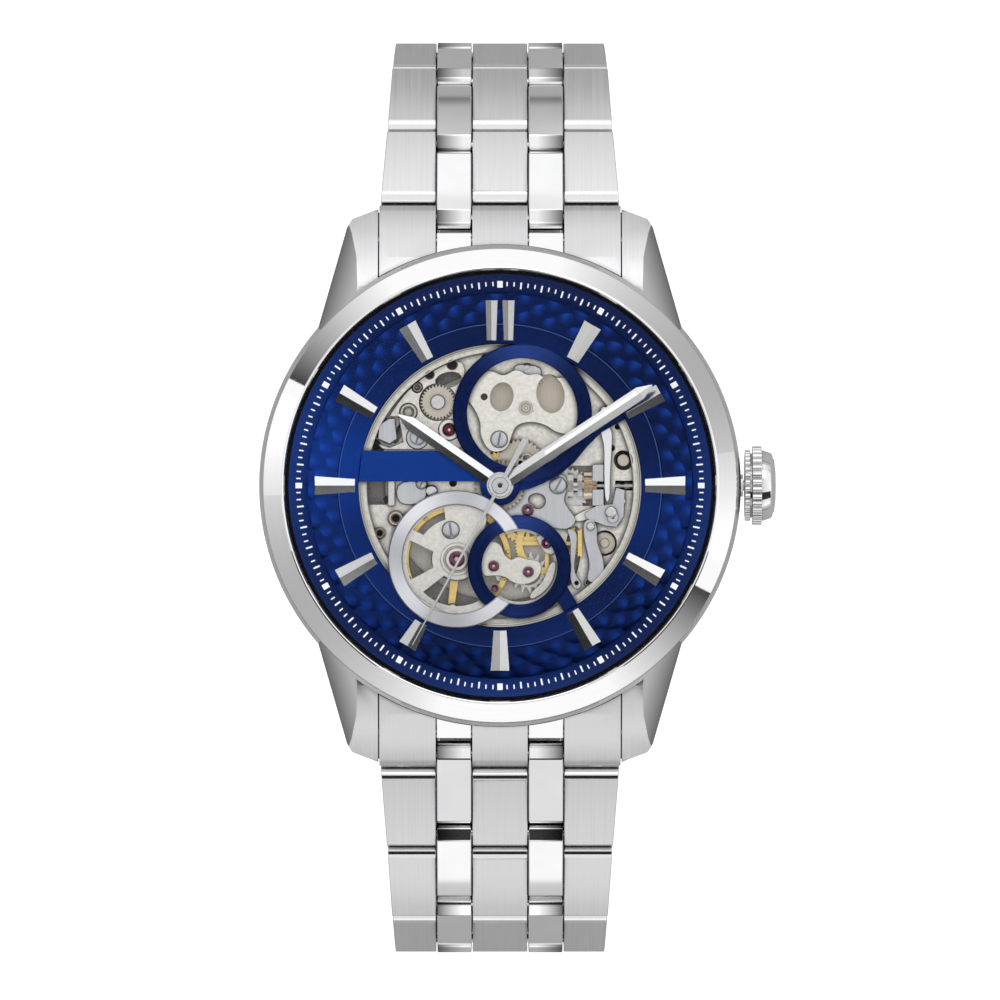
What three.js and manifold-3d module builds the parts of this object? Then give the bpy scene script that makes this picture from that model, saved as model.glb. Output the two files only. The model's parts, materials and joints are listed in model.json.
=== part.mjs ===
// A self-winding skeleton wristwatch on a steel link bracelet, as a three.js scene graph.
// Millimetres. The dial faces +Z, twelve o'clock is +Y and the crown is at +X.
// The origin is on the hands' axis, on the flat outer face of the case back.
import * as THREE from "three";
import { mergeVertices } from "three/addons/utils/BufferGeometryUtils.js";
import Module from "manifold-3d";

const wasm = await Module();
wasm.setup();

// ---------------------------------------------------------------- driving dimensions
const CASE_R = 20.5; // widest part of the case middle
const CASE_BOTTOM = 0.9;
const CASE_TOP = 8.9;
const BEZEL_R = 20.15;
const OPENING_R = 18.3; // bezel opening that holds the crystal
const DIAL_R = 17.9;
const DIAL_BOTTOM = 8.25;
const DIAL_TOP = 8.65;
const APERTURE_R = 12.05; // round window that the dial leaves over the movement
const LUG_GAP = 20.8; // clear width between the two lugs of a pair
const SPRING_BAR = [20.9, 2.6]; // distance along Y, then Z
const CROWN_Z = 6.7; // height of the winding stem's axis
const PLATE_R = 13.0; // main plate
const PLATE_BOTTOM = 6.2;
const PLATE_TOP = 7.6;
const BRIDGE_TOP = 3.8; // train bridge, on the back of the movement
const BRIDGE_BOTTOM = 3.0;
const GAP = 0.05; // free space left between neighbours

// Bracelet
const PITCH = 7.4; // hinge to hinge
const LINK_LOW = -1.15; // underside of a link, from its hinge axis
const LINK_BRUSHED = 1.15; // top of the brushed blocks
const LINK_POLISHED = 1.4; // top of the polished bars
const BAR_IN = 2.45; // polished bars run from BAR_IN to BAR_OUT each side of the middle
const BAR_OUT = 5.4;
const HINGE_0 = [22.9, 3.5]; // first hinge: distance along Y, then Z
// slope of each link below the horizontal when the bracelet is closed, from the case outwards
const SLOPES_12 = [31.5, 42, 71, 104, 129, 151, 171];
const SLOPES_6 = [23, 34.5, 64, 98, 124, 148, 171];
const WIDTHS = [20.4, 19.3, 18.5, 18, 18, 18, 18, 18]; // bracelet width at each hinge

// Movement: positions of the wheels' axes
const BALANCE = [-3.67, -6.27];
const THIRD = [2.37, -2.16];
const FOURTH = [3.988, -4.929];
const ESCAPE = [2.43, -7.42];
const PALLET = [-0.54, -6.93];
const BARREL = [1.7, 5.755];
const MINUTE_WHEEL = [1.74, 1.932];
const CROWN_WHEEL = [6.0, -0.3];

const TEETH = {
  barrel: 60, centrePinion: 10, centre: 48, thirdPinion: 6, third: 45, fourthPinion: 6,
  fourth: 60, escapePinion: 6, escape: 15, cannon: 10, minute: 30, minutePinion: 8,
  hour: 32, ratchet: 30, crownWheel: 30, winding: 16, contrate: 26,
};

const deg = Math.PI / 180;
const length = (a, b = [0, 0]) => Math.hypot(a[0] - b[0], a[1] - b[1]);
const polar = (r, degrees) => [r * Math.cos(degrees * deg), r * Math.sin(degrees * deg)];

// ---------------------------------------------------------------- solids
// A three.js geometry as a manifold solid.
function solid(geometry) {
  const bare = geometry.clone();
  bare.deleteAttribute("normal");
  bare.deleteAttribute("uv");
  const merged = mergeVertices(bare, 1e-4);
  return new wasm.Manifold(new wasm.Mesh({
    numProp: 3,
    vertProperties: merged.attributes.position.array,
    triVerts: new Uint32Array(merged.index.array),
  }));
}

function geometryOf(made) {
  const mesh = made.getMesh();
  const geometry = new THREE.BufferGeometry();
  geometry.setAttribute("position", new THREE.BufferAttribute(mesh.vertProperties, 3));
  geometry.setIndex(new THREE.BufferAttribute(mesh.triVerts, 1));
  const flat = geometry.toNonIndexed();
  flat.computeVertexNormals();
  return flat;
}

const union = (first, ...rest) => rest.reduce((whole, part) => whole.add(part), first);
const cut = (first, ...rest) => rest.reduce((whole, part) => whole.subtract(part), first);
const shapeOf = (points) => new THREE.Shape(points.map((p) => new THREE.Vector2(p[0], p[1])));

// The largest body of a solid, for a plate whose cuts leave slivers behind.
const largest = (made) => made.decompose().sort((a, b) => b.volume() - a.volume())[0];

// A flat shape raised from low to high along Z.
function raise(shape, low, high, curveSegments = 24) {
  const geometry = new THREE.ExtrudeGeometry(shape, {
    depth: high - low, bevelEnabled: false, curveSegments,
  });
  return solid(geometry.translate(0, 0, low));
}

const prism = (points, low, high) => raise(shapeOf(points), low, high);
const block = (x0, x1, y0, y1, low, high) =>
  prism([[x0, y0], [x1, y0], [x1, y1], [x0, y1]], low, high);

function disc(at, radius, low, high, segments = 24) {
  const geometry = new THREE.CylinderGeometry(radius, radius, high - low, segments);
  geometry.rotateX(Math.PI / 2);
  return solid(geometry.translate(at[0], at[1], (low + high) / 2));
}

const ring = (at, inner, outer, low, high, segments = 48) =>
  cut(disc(at, outer, low, high, segments), disc(at, inner, low - 1, high + 1, segments));

// A profile of [radius, z] points turned about Z. It starts and ends on the axis, or closes on itself.
function turned(profile, segments = 64) {
  const onAxis = profile[0][0] === 0;
  const points = profile.map((p) => new THREE.Vector2(p[0], p[1]));
  if (!onAxis) points.push(points[0].clone());
  const geometry = new THREE.LatheGeometry(points, segments);
  geometry.rotateX(Math.PI / 2);
  const made = solid(geometry);
  return made.volume() < 0 ? solid(flipped(geometry)) : made;
}

function flipped(geometry) {
  const turnedOver = geometry.clone();
  const index = turnedOver.index.array;
  for (let i = 0; i < index.length; i += 3) [index[i], index[i + 1]] = [index[i + 1], index[i]];
  return turnedOver;
}

// A solid made along Z, laid along +X with its axis at a given Y and Z.
const alongX = (made, y, z) => made.rotate([0, 90, 0]).translate(0, y, z);

// A profile of [y, z] points drawn out along X from x0 to x1.
function drawn(profile, x0, x1) {
  const geometry = new THREE.ExtrudeGeometry(shapeOf(profile), { depth: x1 - x0, bevelEnabled: false });
  geometry.applyMatrix4(new THREE.Matrix4().set(0, 0, 1, x0, 1, 0, 0, 0, 0, 1, 0, 0, 0, 0, 0, 1));
  return solid(geometry);
}

// Points round a circle, anticlockwise from one angle to another in degrees.
function arc(at, radius, from, to, steps) {
  return Array.from({ length: steps + 1 }, (_, i) => {
    const [x, y] = polar(radius, from + ((to - from) * i) / steps);
    return [at[0] + x, at[1] + y];
  });
}

// A wheel's toothed outline about the origin, with pointed teeth.
function toothed(teeth, pitchRadius, phase = 0) {
  const depth = (2 * pitchRadius) / teeth;
  const [tip, root] = [pitchRadius + 0.9 * depth, pitchRadius - 1.25 * depth];
  const step = 360 / teeth;
  const points = [];
  for (let i = 0; i < teeth; i += 1) {
    const middle = phase + i * step;
    points.push(polar(root, middle - step / 2), polar(tip, middle));
  }
  return points;
}

const wheelBlank = (at, teeth, pitchRadius, low, high, phase = 0) =>
  prism(toothed(teeth, pitchRadius, phase), low, high).translate(at[0], at[1], 0);

// Windows between a wheel's spokes.
function spokeWindows(at, inner, outer, count, spokeWidth, low, high, turn = 0) {
  return Array.from({ length: count }, (_, i) => {
    const [from, to] = [(360 * i) / count + turn, (360 * (i + 1)) / count + turn];
    const lean = (r) => Math.asin(spokeWidth / 2 / r) / deg;
    const points = [
      ...arc([0, 0], outer, from + lean(outer), to - lean(outer), 5),
      ...arc([0, 0], inner, to - lean(inner), from + lean(inner), 1),
    ];
    return prism(points, low - 1, high + 1).translate(at[0], at[1], 0);
  });
}

// The pitch radii of two meshing wheels whose axes are a distance apart.
const meshRadii = (distance, a, b) => [(distance * a) / (a + b), (distance * b) / (a + b)];

// ---------------------------------------------------------------- materials
const metal = (color, roughness) => new THREE.MeshStandardMaterial({ color, roughness, metalness: 1 });
const steelBrushed = metal(0xc4c4c4, 0.38);
const steelPolished = metal(0xd8d8d8, 0.08);
const nickel = metal(0xd6cfc0, 0.35);
const steelMatt = metal(0xa9a9ab, 0.3);
const gold = metal(0xe0b456, 0.25);
const brass = metal(0xb9a479, 0.4);
const blueSpring = metal(0x2b3f66, 0.3);
const blueDial = new THREE.MeshStandardMaterial({ color: 0x0a2a86, roughness: 0.35, metalness: 0.6 });
const glass = new THREE.MeshStandardMaterial({
  color: 0xf4f8fb, roughness: 0.02, metalness: 0, opacity: 0.15, transparent: true,
});

const watch = new THREE.Group();
const movement = new THREE.Group();
const bracelet = new THREE.Group();
watch.add(movement, bracelet);

// Adds a solid to a group as a named mesh.
function place(group, name, made, material) {
  const mesh = new THREE.Mesh(geometryOf(made), material);
  mesh.name = name;
  group.add(mesh);
  return mesh;
}

// ---------------------------------------------------------------- case
// Side outline [y, z] shared by the lugs and the end links: a top that falls away from the bezel.
const shoulderTop = [[14, 8.75], [17, 8.3], [19.5, 7.35], [21.5, 6.1], [23.4, 4.55]];

function lug(sideX, sideY) {
  const inner = LUG_GAP / 2;
  const plan = [[inner, 14], [15.55, 13.3], [15.3, 14.2], [13.05, 22], [inner, 23.6]];
  const side = [[13, 2.4], [17, 1.7], [20, 0.7], [23.2, 0.5], [23.9, 1.6], [23.4, 4.55],
    ...shoulderTop.slice(0, -1).reverse(), [13, 8.85]];
  const outline = prism(plan, 0, 10);
  const profile = drawn(side, 5, 20);
  // the polished outer facet, a plane through the shoulder's edge
  const facet = new THREE.Plane().setFromCoplanarPoints(
    new THREE.Vector3(12.35, 15.5, 8.6),
    new THREE.Vector3(15.5, 14.5, 4.6),
    new THREE.Vector3(12.3, 20.6, 6.75),
  );
  const made = outline.intersect(profile);
  const sign = facet.normal.x > 0 ? -1 : 1;
  const n = facet.normal.clone().multiplyScalar(sign);
  const trimmed = made.trimByPlane([n.x, n.y, n.z], -facet.constant * sign);
  const placed = trimmed.scale([sideX, sideY, 1]);
  return placed;
}

function caseMiddle() {
  const body = turned([
    [17.1, CASE_BOTTOM], [18.6, CASE_BOTTOM], [CASE_R, 3.4], [CASE_R, 8.6],
    [CASE_R - 0.3, CASE_TOP], [18.15, CASE_TOP], [18.15, 8.2], [15.6, 8.2], [15.6, 1.7], [17.1, 1.7],
  ], 44);
  const lugs = [[1, 1], [-1, 1], [1, -1], [-1, -1]].map(([x, y]) => lug(x, y));
  const hollow = disc([0, 0], 18.6, 0, 10, 28);
  const tubeHole = alongX(disc([0, 0], 1, 14, 22, 16), 0, CROWN_Z);
  const barHole = disc([0, 0], 0.52, -11.4, 11.4, 12);
  const barHoles = [-1, 1].map((side) => alongX(barHole, side * SPRING_BAR[0], SPRING_BAR[1]));
  return cut(union(body, ...lugs.map((l) => cut(l, hollow))), tubeHole, ...barHoles);
}

place(watch, "case_middle", caseMiddle(), steelBrushed);

place(watch, "bezel", turned([
  [OPENING_R, 8.95], [BEZEL_R - 0.15, 8.95], [BEZEL_R, 9.15], [BEZEL_R, 9.6],
  [OPENING_R + 0.35, 11.15], [OPENING_R, 11.15],
], 48), steelPolished);

place(watch, "crystal", turned([
  [0, 10.4], [OPENING_R - GAP, 10.4], [OPENING_R - GAP, 11.2], [12, 11.45], [0, 11.6],
], 48), glass);

place(watch, "case_back", turned([
  [11.8, 0], [15.6, 0], [17.05, 0.7], [17.05, 1.65], [12.6, 1.65], [12.6, 0.5], [11.8, 0.5],
], 36), steelPolished);
place(watch, "case_back_window", turned([
  [0, 0], [11.65, 0], [11.65, 0.55], [12.5, 0.55], [12.5, 1.5], [0, 1.5],
], 30), glass);

// ---------------------------------------------------------------- dial
const UPPER_LOOP = { at: [1.9, 6.13], outer: 5.92, inner: 4.7 };
const LOWER_LOOP = { at: [1.65, -6.9], outer: 4.39, inner: 3.22 };
const SILVER_LOOP = { at: BALANCE, outer: 5.86, inner: 4.62 };
const HUB_R = 1.67;
const MARKER = { inner: 12.33, outer: 15.77, innerWidth: 1.1, outerWidth: 1.65, height: 0.5 };

// A baton with a ridge along its middle, lying along +X from the dial's centre.
function baton(from, to, widthIn, widthOut) {
  const low = DIAL_TOP - 0.05;
  const high = DIAL_TOP + MARKER.height;
  const points = [
    [from, -widthIn / 2, low], [to, -widthOut / 2, low], [to, widthOut / 2, low], [from, widthIn / 2, low],
    [from + 0.08, 0, high], [to - 0.08, 0, high],
  ];
  const faces = [[0, 2, 1], [0, 3, 2], [0, 1, 5], [0, 5, 4], [2, 3, 4], [2, 4, 5], [0, 4, 3], [1, 2, 5]];
  const geometry = new THREE.BufferGeometry();
  geometry.setAttribute("position", new THREE.Float32BufferAttribute(points.flat(), 3));
  geometry.setIndex(faces.flat());
  return solid(geometry);
}

function markers() {
  const made = [];
  for (let hour = 1; hour < 12; hour += 1) {
    const from = hour === 7 ? 13.45 : MARKER.inner;
    const marker = baton(from, MARKER.outer, MARKER.innerWidth, MARKER.outerWidth);
    made.push(marker.rotate([0, 0, 90 - 30 * hour]));
  }
  // twelve o'clock is a pair of batons
  for (const side of [-1, 1]) {
    made.push(baton(MARKER.inner, MARKER.outer, 0.8, 1.05).translate(0, side * 0.75, 0).rotate([0, 0, 90]));
  }
  return made;
}

function dial() {
  const level = [DIAL_BOTTOM, DIAL_TOP];
  const loop = (l) => ring(l.at, l.inner, l.outer, ...level, 32);
  const band = ring([0, 0], APERTURE_R, DIAL_R, ...level, 44);
  const hub = disc([0, 0], HUB_R, ...level, 24);
  // bar to the left rim, bar to two o'clock, and bar to five o'clock
  const leftBar = block(-12.3, -0.6, 0.35, 2.95, ...level);
  const rightBar = prism([
    [1.2, -0.5], [3.6, 0.15], [7.6, 3.4], [12.0, 5.9], [11.3, 7.2], [7.3, 4.9], [0, 1.6],
  ], ...level);
  const lowBar = block(9.75, 12.6, -0.66, 0.66, ...level).rotate([0, 0, -60]);
  const upperHole = disc(UPPER_LOOP.at, UPPER_LOOP.inner, 8, 9, 32);
  const arms = cut(union(hub, leftBar, rightBar), upperHole, disc(LOWER_LOOP.at, LOWER_LOOP.inner, 8, 9, 32));
  const neck = block(-0.6, 1.9, -3.2, -1.2, ...level);
  const plate = union(band, loop(UPPER_LOOP), loop(LOWER_LOOP), arms, lowBar, neck);
  const trimmed = plate.intersect(disc([0, 0], DIAL_R, 8, 9, 44));
  const withMarkers = union(trimmed, ...markers());
  return cut(withMarkers, disc([0, 0], 1.0, 8, 9.2, 24));
}

place(watch, "dial", dial(), blueDial);

const subRing = cut(
  ring(SILVER_LOOP.at, SILVER_LOOP.inner, SILVER_LOOP.outer, DIAL_TOP + 0.02, DIAL_TOP + 0.27, 40),
  disc(LOWER_LOOP.at, LOWER_LOOP.inner, 8, 9.5, 36),
  disc([0, 0], 1.3, 8, 9.5, 24),
);
place(watch, "sub_ring", largest(subRing), steelMatt);

place(watch, "chapter_ring", turned([
  [16.45, DIAL_TOP + 0.02], [18.1, DIAL_TOP + 0.3], [18.1, 10.3], [17.9, 10.3], [16.45, 9.0],
], 40), blueDial);

// ---------------------------------------------------------------- hands
// A hand along +Y: a ridged blade on a round boss that has a hole for its pipe.
function hand({ reach, tail, width, tipWidth, low, thickness, boss, hole, shoulder }) {
  const points = [
    [-width / 2, tail], [width / 2, tail], [width / 2, reach - shoulder], [tipWidth / 2, reach],
    [-tipWidth / 2, reach], [-width / 2, reach - shoulder],
  ];
  const blade = prism(points, low, low + thickness);
  const eye = disc([0, 0], boss, low, low + thickness, 24);
  return cut(union(blade, eye), disc([0, 0], hole, low - 1, low + 1, 16));
}

// The dial shows about ten past ten.
const MINUTES_SHOWN = 9.45;
const SECONDS_SHOWN = 34.8;
const clockwise = {
  hour: -(300 + MINUTES_SHOWN / 2),
  minute: -MINUTES_SHOWN * 6,
  second: -SECONDS_SHOWN * 6,
};

const hourHand = hand({
  reach: 10.55, tail: -0.2, width: 1.15, tipWidth: 0.16,
  low: 9.1, thickness: 0.28, boss: 1.15, hole: 0.83, shoulder: 0.95,
});
place(watch, "hour_hand", hourHand.rotate([0, 0, clockwise.hour]), steelPolished);
const minuteHand = hand({
  reach: 15.5, tail: -0.2, width: 1.15, tipWidth: 0.16,
  low: 9.48, thickness: 0.25, boss: 1.0, hole: 0.53, shoulder: 1.05,
});
place(watch, "minute_hand", minuteHand.rotate([0, 0, clockwise.minute]), steelPolished);

// The seconds hand carries its long arbor and, deep in the movement, the pinion that turns it.
function secondsHand() {
  const low = 9.85;
  const blade = prism([
    [-0.24, -4.75], [0.24, -4.75], [0.2, 0], [0.09, 15.5], [-0.09, 15.5], [-0.2, 0],
  ], low, low + 0.12);
  const cap = disc([0, 0], 0.75, low, low + 0.22, 24);
  const arbor = disc([0, 0], 0.16, 3.9, low + 0.1, 12);
  return union(blade, cap, arbor).rotate([0, 0, clockwise.second]);
}
const [thirdR, secondsR] = meshRadii(length(THIRD), TEETH.third, TEETH.fourthPinion);
const secondsPinion = wheelBlank([0, 0], TEETH.fourthPinion, secondsR, 4.3, 4.8);
place(watch, "seconds_hand", union(secondsHand(), secondsPinion), steelPolished);

// ---------------------------------------------------------------- movement: plates
place(movement, "movement_ring", cut(
  turned([[PLATE_R + 0.15, 5], [15.5, 5], [15.5, 8.15], [PLATE_R + 0.15, 8.15]], 40),
  block(12, 17, -0.8, 0.8, 4, 7.3),
), steelMatt);

// The stem's channel, and the pocket where the sliding and winding pinions show.
const stemChannel = block(8.5, 14, -0.75, 0.75, PLATE_BOTTOM - 1, 7.25);
const pinionPocket = union(
  block(5.5, 8.7, -1.35, 1.35, PLATE_BOTTOM - 1, 9),
  block(4.5, 6, -0.5, 0.5, PLATE_BOTTOM - 1, 7.2),
);

// Rounded window given as an oval.
function oval(at, rx, ry, turn, low, high) {
  const shape = new THREE.Shape();
  shape.absellipse(0, 0, rx, ry, 0, 2 * Math.PI, false, 0);
  return raise(shape, low, high, 7).rotate([0, 0, turn]).translate(at[0], at[1], 0);
}

function mainPlate() {
  const plate = turned([
    [0, PLATE_BOTTOM], [PLATE_R, PLATE_BOTTOM], [PLATE_R, 8.15], [11.5, 8.15],
    [11.5, PLATE_TOP], [0, PLATE_TOP],
  ], 40);
  const inside = disc([0, 0], 11.3, 5, 9, 40);
  const balanceWell = disc(BALANCE, 4.75, 5, 9, 28).intersect(inside);
  const through = [
    balanceWell, stemChannel, pinionPocket,
    prism([[0.7, -4.4], [2.6, -4.7], [3.6, -6.3], [1.9, -6.6], [1.1, -5.9]], 5, 9),
    oval([3.9, -8.0], 0.8, 1.1, -35, 5, 9),
    oval([5.9, -6.2], 0.7, 2.1, -12, 5, 9),
    oval([BARREL[0] - 1.6, BARREL[1] + 1.4], 1.15, 1.9, -10, 5, 9),
    oval([BARREL[0] + 2.3, BARREL[1] + 1.9], 1.5, 2.3, 8, 5, 9),
    oval([-10.2, 2.9], 0.55, 1.5, 15, 5, 9),
    prism([[-10.9, -0.3], [-8.4, -0.3], [-8.4, -2.1], [-10.6, -1.7]], 5, 9),
    disc([-4.75, 11.9 - 1.3], 0.4, 5, 9, 12),
    disc([-8.25, 8.4], 0.38, 5, 9, 12),
    disc([-10.5, -4.4], 0.42, 5, 9, 12),
    oval([10.7, 3.0], 0.75, 1.0, 20, 5, 9),
  ];
  const centreHole = disc([0, 0], 0.75, 5, 9, 14);
  const arborHoles = [THIRD, FOURTH, ESCAPE].map((at) => disc(at, 0.2, 5, 6.9, 8));
  return cut(plate, ...through, centreHole, ...arborHoles);
}
place(movement, "main_plate", mainPlate(), nickel);

function trainBridge() {
  const plate = disc([0, 0], 10.2, BRIDGE_BOTTOM, BRIDGE_TOP, 36);
  const post = disc([0, 0], 0.95, 1.85, BRIDGE_BOTTOM + 0.1, 16);
  const feet = [[-9, 2.5], [-7.6, 5.6], [9.0, -3.2], [-8.9, -1.4]]
    .map((at) => disc(at, 0.6, BRIDGE_TOP - 0.1, PLATE_BOTTOM - 0.02, 10));
  const windows = [
    oval([-3.6, 5.0], 1.9, 2.6, 25, 2, 5),
    oval([BALANCE[0] - 0.4, BALANCE[1] - 0.3], 1.5, 2.0, 60, 2, 5),
    oval([7.4, -4.0], 1.3, 1.6, 30, 2, 5),
  ];
  const pivots = [
    [BARREL, 1.0], [FOURTH, 0.22], [THIRD, 0.22], [ESCAPE, 0.22], [PALLET, 0.2], [CROWN_WHEEL, 0.48],
  ].map(([at, r]) => disc(at, r, 2, 5, 10));
  return cut(union(plate, post, ...feet), ...windows, ...pivots, disc([0, 0], 0.22, 2.4, 5, 10));
}
place(movement, "train_bridge", trainBridge(), nickel);

// Three-armed bridge over the balance, seen from the dial side.
function balanceBridge() {
  const [low, high] = [PLATE_TOP + 0.02, 8.0];
  const outline = disc(BALANCE, 5.5, low, high, 32).intersect(disc([0, 0], 11.4, 5, 9, 40));
  const windows = [
    prism([...arc([0, 0], 4.35, 158, 205, 6), ...arc([0, 0], 1.9, 205, 158, 3)], 5, 9),
    prism([...arc([0, 0], 4.35, 102, 138, 5), ...arc([0, 0], 3.1, 138, 102, 3)], 5, 9),
    prism([...arc([0, 0], 4.2, 222, 316, 9), ...arc([0, 0], 1.55, 316, 222, 4)], 5, 9),
  ].map((w) => w.translate(BALANCE[0], BALANCE[1], 0));
  const keepOff = [
    disc([0, 0], 2.35, 5, 9, 24),
    disc(MINUTE_WHEEL, 2.4, 5, 9, 24),
    disc(LOWER_LOOP.at, 3.35, 5, 9, 36),
  ];
  const pivotHole = disc(BALANCE, 0.2, 5, 9, 12);
  return largest(cut(outline, ...windows, ...keepOff, pivotHole));
}
place(movement, "balance_bridge", balanceBridge(), nickel);

// Cover plate over the barrel, seen inside the dial's upper loop.
function barrelCover() {
  const [low, high] = [PLATE_TOP + 0.02, 8.0];
  const outline = prism([
    [-3.1, 9.4], [-3.4, 6.6], [-2.6, 4.1], [-0.9, 4.4], [0.4, 4.6], [3.4, 4.4], [5.9, 4.0],
    [6.7, 7.2], [5.6, 9.5], [2.2, 11.0], [-0.6, 10.6],
  ], low, high);
  const windows = [
    oval([BARREL[0] - 1.6, BARREL[1] + 1.4], 1.1, 1.8, -10, 5, 9),
    oval([BARREL[0] + 2.3, BARREL[1] + 1.9], 1.45, 2.2, 8, 5, 9),
    disc([-2.1, 7.3], 0.35, 5, 9, 12),
  ];
  return cut(outline, ...windows);
}
place(movement, "barrel_cover", barrelCover(), nickel);

// ---------------------------------------------------------------- movement: going train
const [barrelR, centrePinionR] = meshRadii(length(BARREL), TEETH.barrel, TEETH.centrePinion);
const [centreR, thirdPinionR] = meshRadii(length(THIRD), TEETH.centre, TEETH.thirdPinion);
const [fourthR, escapePinionR] = meshRadii(length(FOURTH, ESCAPE), TEETH.fourth, TEETH.escapePinion);

// Angle of the line from one axis to another, in degrees.
const bearing = (from, to) => Math.atan2(to[1] - from[1], to[0] - from[0]) / deg;
// Phases that put a tooth of the first wheel into a gap of the second on the line between their axes.
const toothAt = (from, to) => bearing(from, to);
const gapAt = (from, to, teeth) => bearing(from, to) + 180 / teeth;

function barrelDrum() {
  const [low, high] = [4.0, 5.55];
  const drum = disc([0, 0], barrelR - 0.55, low, high, 24);
  const teeth = prism(toothed(TEETH.barrel, barrelR, toothAt(BARREL, [0, 0])), 5.05, 5.45);
  const hollow = disc([0, 0], barrelR - 0.85, low - 1, high - 0.15, 24);
  return cut(union(drum, teeth), hollow, disc([0, 0], 0.65, 3, 7, 14)).translate(BARREL[0], BARREL[1], 0);
}
place(movement, "barrel", barrelDrum(), brass);

// The mainspring: a flat strip wound in a spiral from the arbor out to the drum's wall.
function spiral(inner, outer, turns, thickness, low, high, perTurn) {
  const steps = turns * perTurn;
  const edge = (offset) => Array.from({ length: steps + 1 }, (_, i) =>
    polar(inner + ((outer - inner) * i) / steps + offset, (360 * i) / perTurn));
  return prism([...edge(thickness / 2), ...edge(-thickness / 2).reverse()], low, high);
}
place(movement, "mainspring", spiral(1.0, barrelR - 1.1, 3, 0.18, 4.15, 5.3, 12)
  .translate(BARREL[0], BARREL[1], 0), blueSpring);

// Ratchet wheel on the barrel arbor, on the back of the train bridge.
const [ratchetR, crownWheelR] = meshRadii(length(BARREL, CROWN_WHEEL), TEETH.ratchet, TEETH.crownWheel);
const RATCHET_LEVEL = [2.72, 2.95];
function ratchetWheel() {
  const wheel = wheelBlank([0, 0], TEETH.ratchet, ratchetR, ...RATCHET_LEVEL, toothAt(BARREL, CROWN_WHEEL));
  const arbor = disc([0, 0], 0.6, 2.75, 5.65, 14);
  return cut(union(wheel, arbor), disc([0, 0], 0.3, 2, 3.4, 12)).translate(BARREL[0], BARREL[1], 0);
}
place(movement, "ratchet_wheel", ratchetWheel(), steelMatt);

// Crown wheel: its lower wheel meets the ratchet, and its upper one lies under the winding pinion.
const crownWheelPhase = gapAt(CROWN_WHEEL, BARREL, TEETH.crownWheel);
const crownWheel = union(
  wheelBlank([0, 0], TEETH.crownWheel, crownWheelR, ...RATCHET_LEVEL, crownWheelPhase),
  wheelBlank([0, 0], TEETH.contrate, 1.7, 5.2, 5.45),
  disc([0, 0], 0.42, 2.8, 5.3, 12),
);
place(movement, "crown_wheel", crownWheel.translate(CROWN_WHEEL[0], CROWN_WHEEL[1], 0), steelMatt);

// A wheel on its own arbor, with a pinion.
function wheelAndPinion(spec) {
  const { at, teeth, radius, level, phase, arbor, spokes } = spec;
  const { pinion, pinionRadius, pinionLevel, pinionPhase } = spec;
  const blank = wheelBlank([0, 0], teeth, radius, ...level, phase);
  const windows = spokeWindows([0, 0], 0.55, radius * 0.78, spokes, 0.32, ...level);
  const stack = union(
    cut(blank, ...windows),
    wheelBlank([0, 0], pinion, pinionRadius, ...pinionLevel, pinionPhase),
    disc([0, 0], 0.15, ...arbor, 10),
    disc([0, 0], 0.28, Math.min(level[0], pinionLevel[0]), Math.max(level[1], pinionLevel[1]), 10),
  );
  return stack.translate(at[0], at[1], 0);
}

function centreWheel() {
  const blank = wheelBlank([0, 0], TEETH.centre, centreR, 5.72, 5.9, toothAt([0, 0], THIRD));
  const windows = spokeWindows([0, 0], 1.0, centreR * 0.78, 4, 0.4, 5.7, 5.9, 20);
  const phase = gapAt([0, 0], BARREL, TEETH.centrePinion);
  const pinion = wheelBlank([0, 0], TEETH.centrePinion, centrePinionR, 5.0, 5.75, phase);
  const pipe = disc([0, 0], 0.36, 5.0, 9.2, 14);
  return cut(union(cut(blank, ...windows), pinion, pipe), disc([0, 0], 0.2, 4, 10, 12));
}
place(movement, "centre_wheel", centreWheel(), gold);

place(movement, "third_wheel", wheelAndPinion({
  at: THIRD, teeth: TEETH.third, radius: thirdR, level: [4.42, 4.6], phase: toothAt(THIRD, [0, 0]),
  pinion: TEETH.thirdPinion, pinionRadius: thirdPinionR, pinionLevel: [5.55, 6.05],
  pinionPhase: gapAt(THIRD, [0, 0], TEETH.thirdPinion), arbor: [3.1, 6.8], spokes: 4,
}), gold);

place(movement, "fourth_wheel", wheelAndPinion({
  at: FOURTH, teeth: TEETH.fourth, radius: fourthR, level: [5.2, 5.36], phase: toothAt(FOURTH, ESCAPE),
  pinion: TEETH.fourthPinion, pinionRadius: secondsR, pinionLevel: [4.3, 4.8],
  pinionPhase: gapAt(FOURTH, THIRD, TEETH.fourthPinion), arbor: [3.1, 6.8], spokes: 4,
}), gold);

// Escape wheel: fifteen hooked teeth, all leaning one way.
const ESCAPE_R = 1.75;
function escapeWheel() {
  const step = 360 / TEETH.escape;
  const outline = [];
  for (let i = 0; i < TEETH.escape; i += 1) {
    const turn = i * step;
    outline.push(polar(1.3, turn), polar(ESCAPE_R, turn + 11));
    outline.push(polar(ESCAPE_R, turn + 14), polar(1.3, turn + 16));
  }
  const wheel = cut(prism(outline, 4.5, 4.62), ...spokeWindows([0, 0], 0.4, 1.08, 3, 0.24, 4.5, 4.62));
  const phase = gapAt(ESCAPE, FOURTH, TEETH.escapePinion);
  const pinion = wheelBlank([0, 0], TEETH.escapePinion, escapePinionR, 5.0, 5.5, phase);
  return union(wheel, pinion, disc([0, 0], 0.15, 3.1, 6.8, 10), disc([0, 0], 0.22, 4.5, 5.5, 10))
    .translate(ESCAPE[0], ESCAPE[1], 0);
}
place(movement, "escape_wheel", escapeWheel(), steelPolished);

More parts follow.
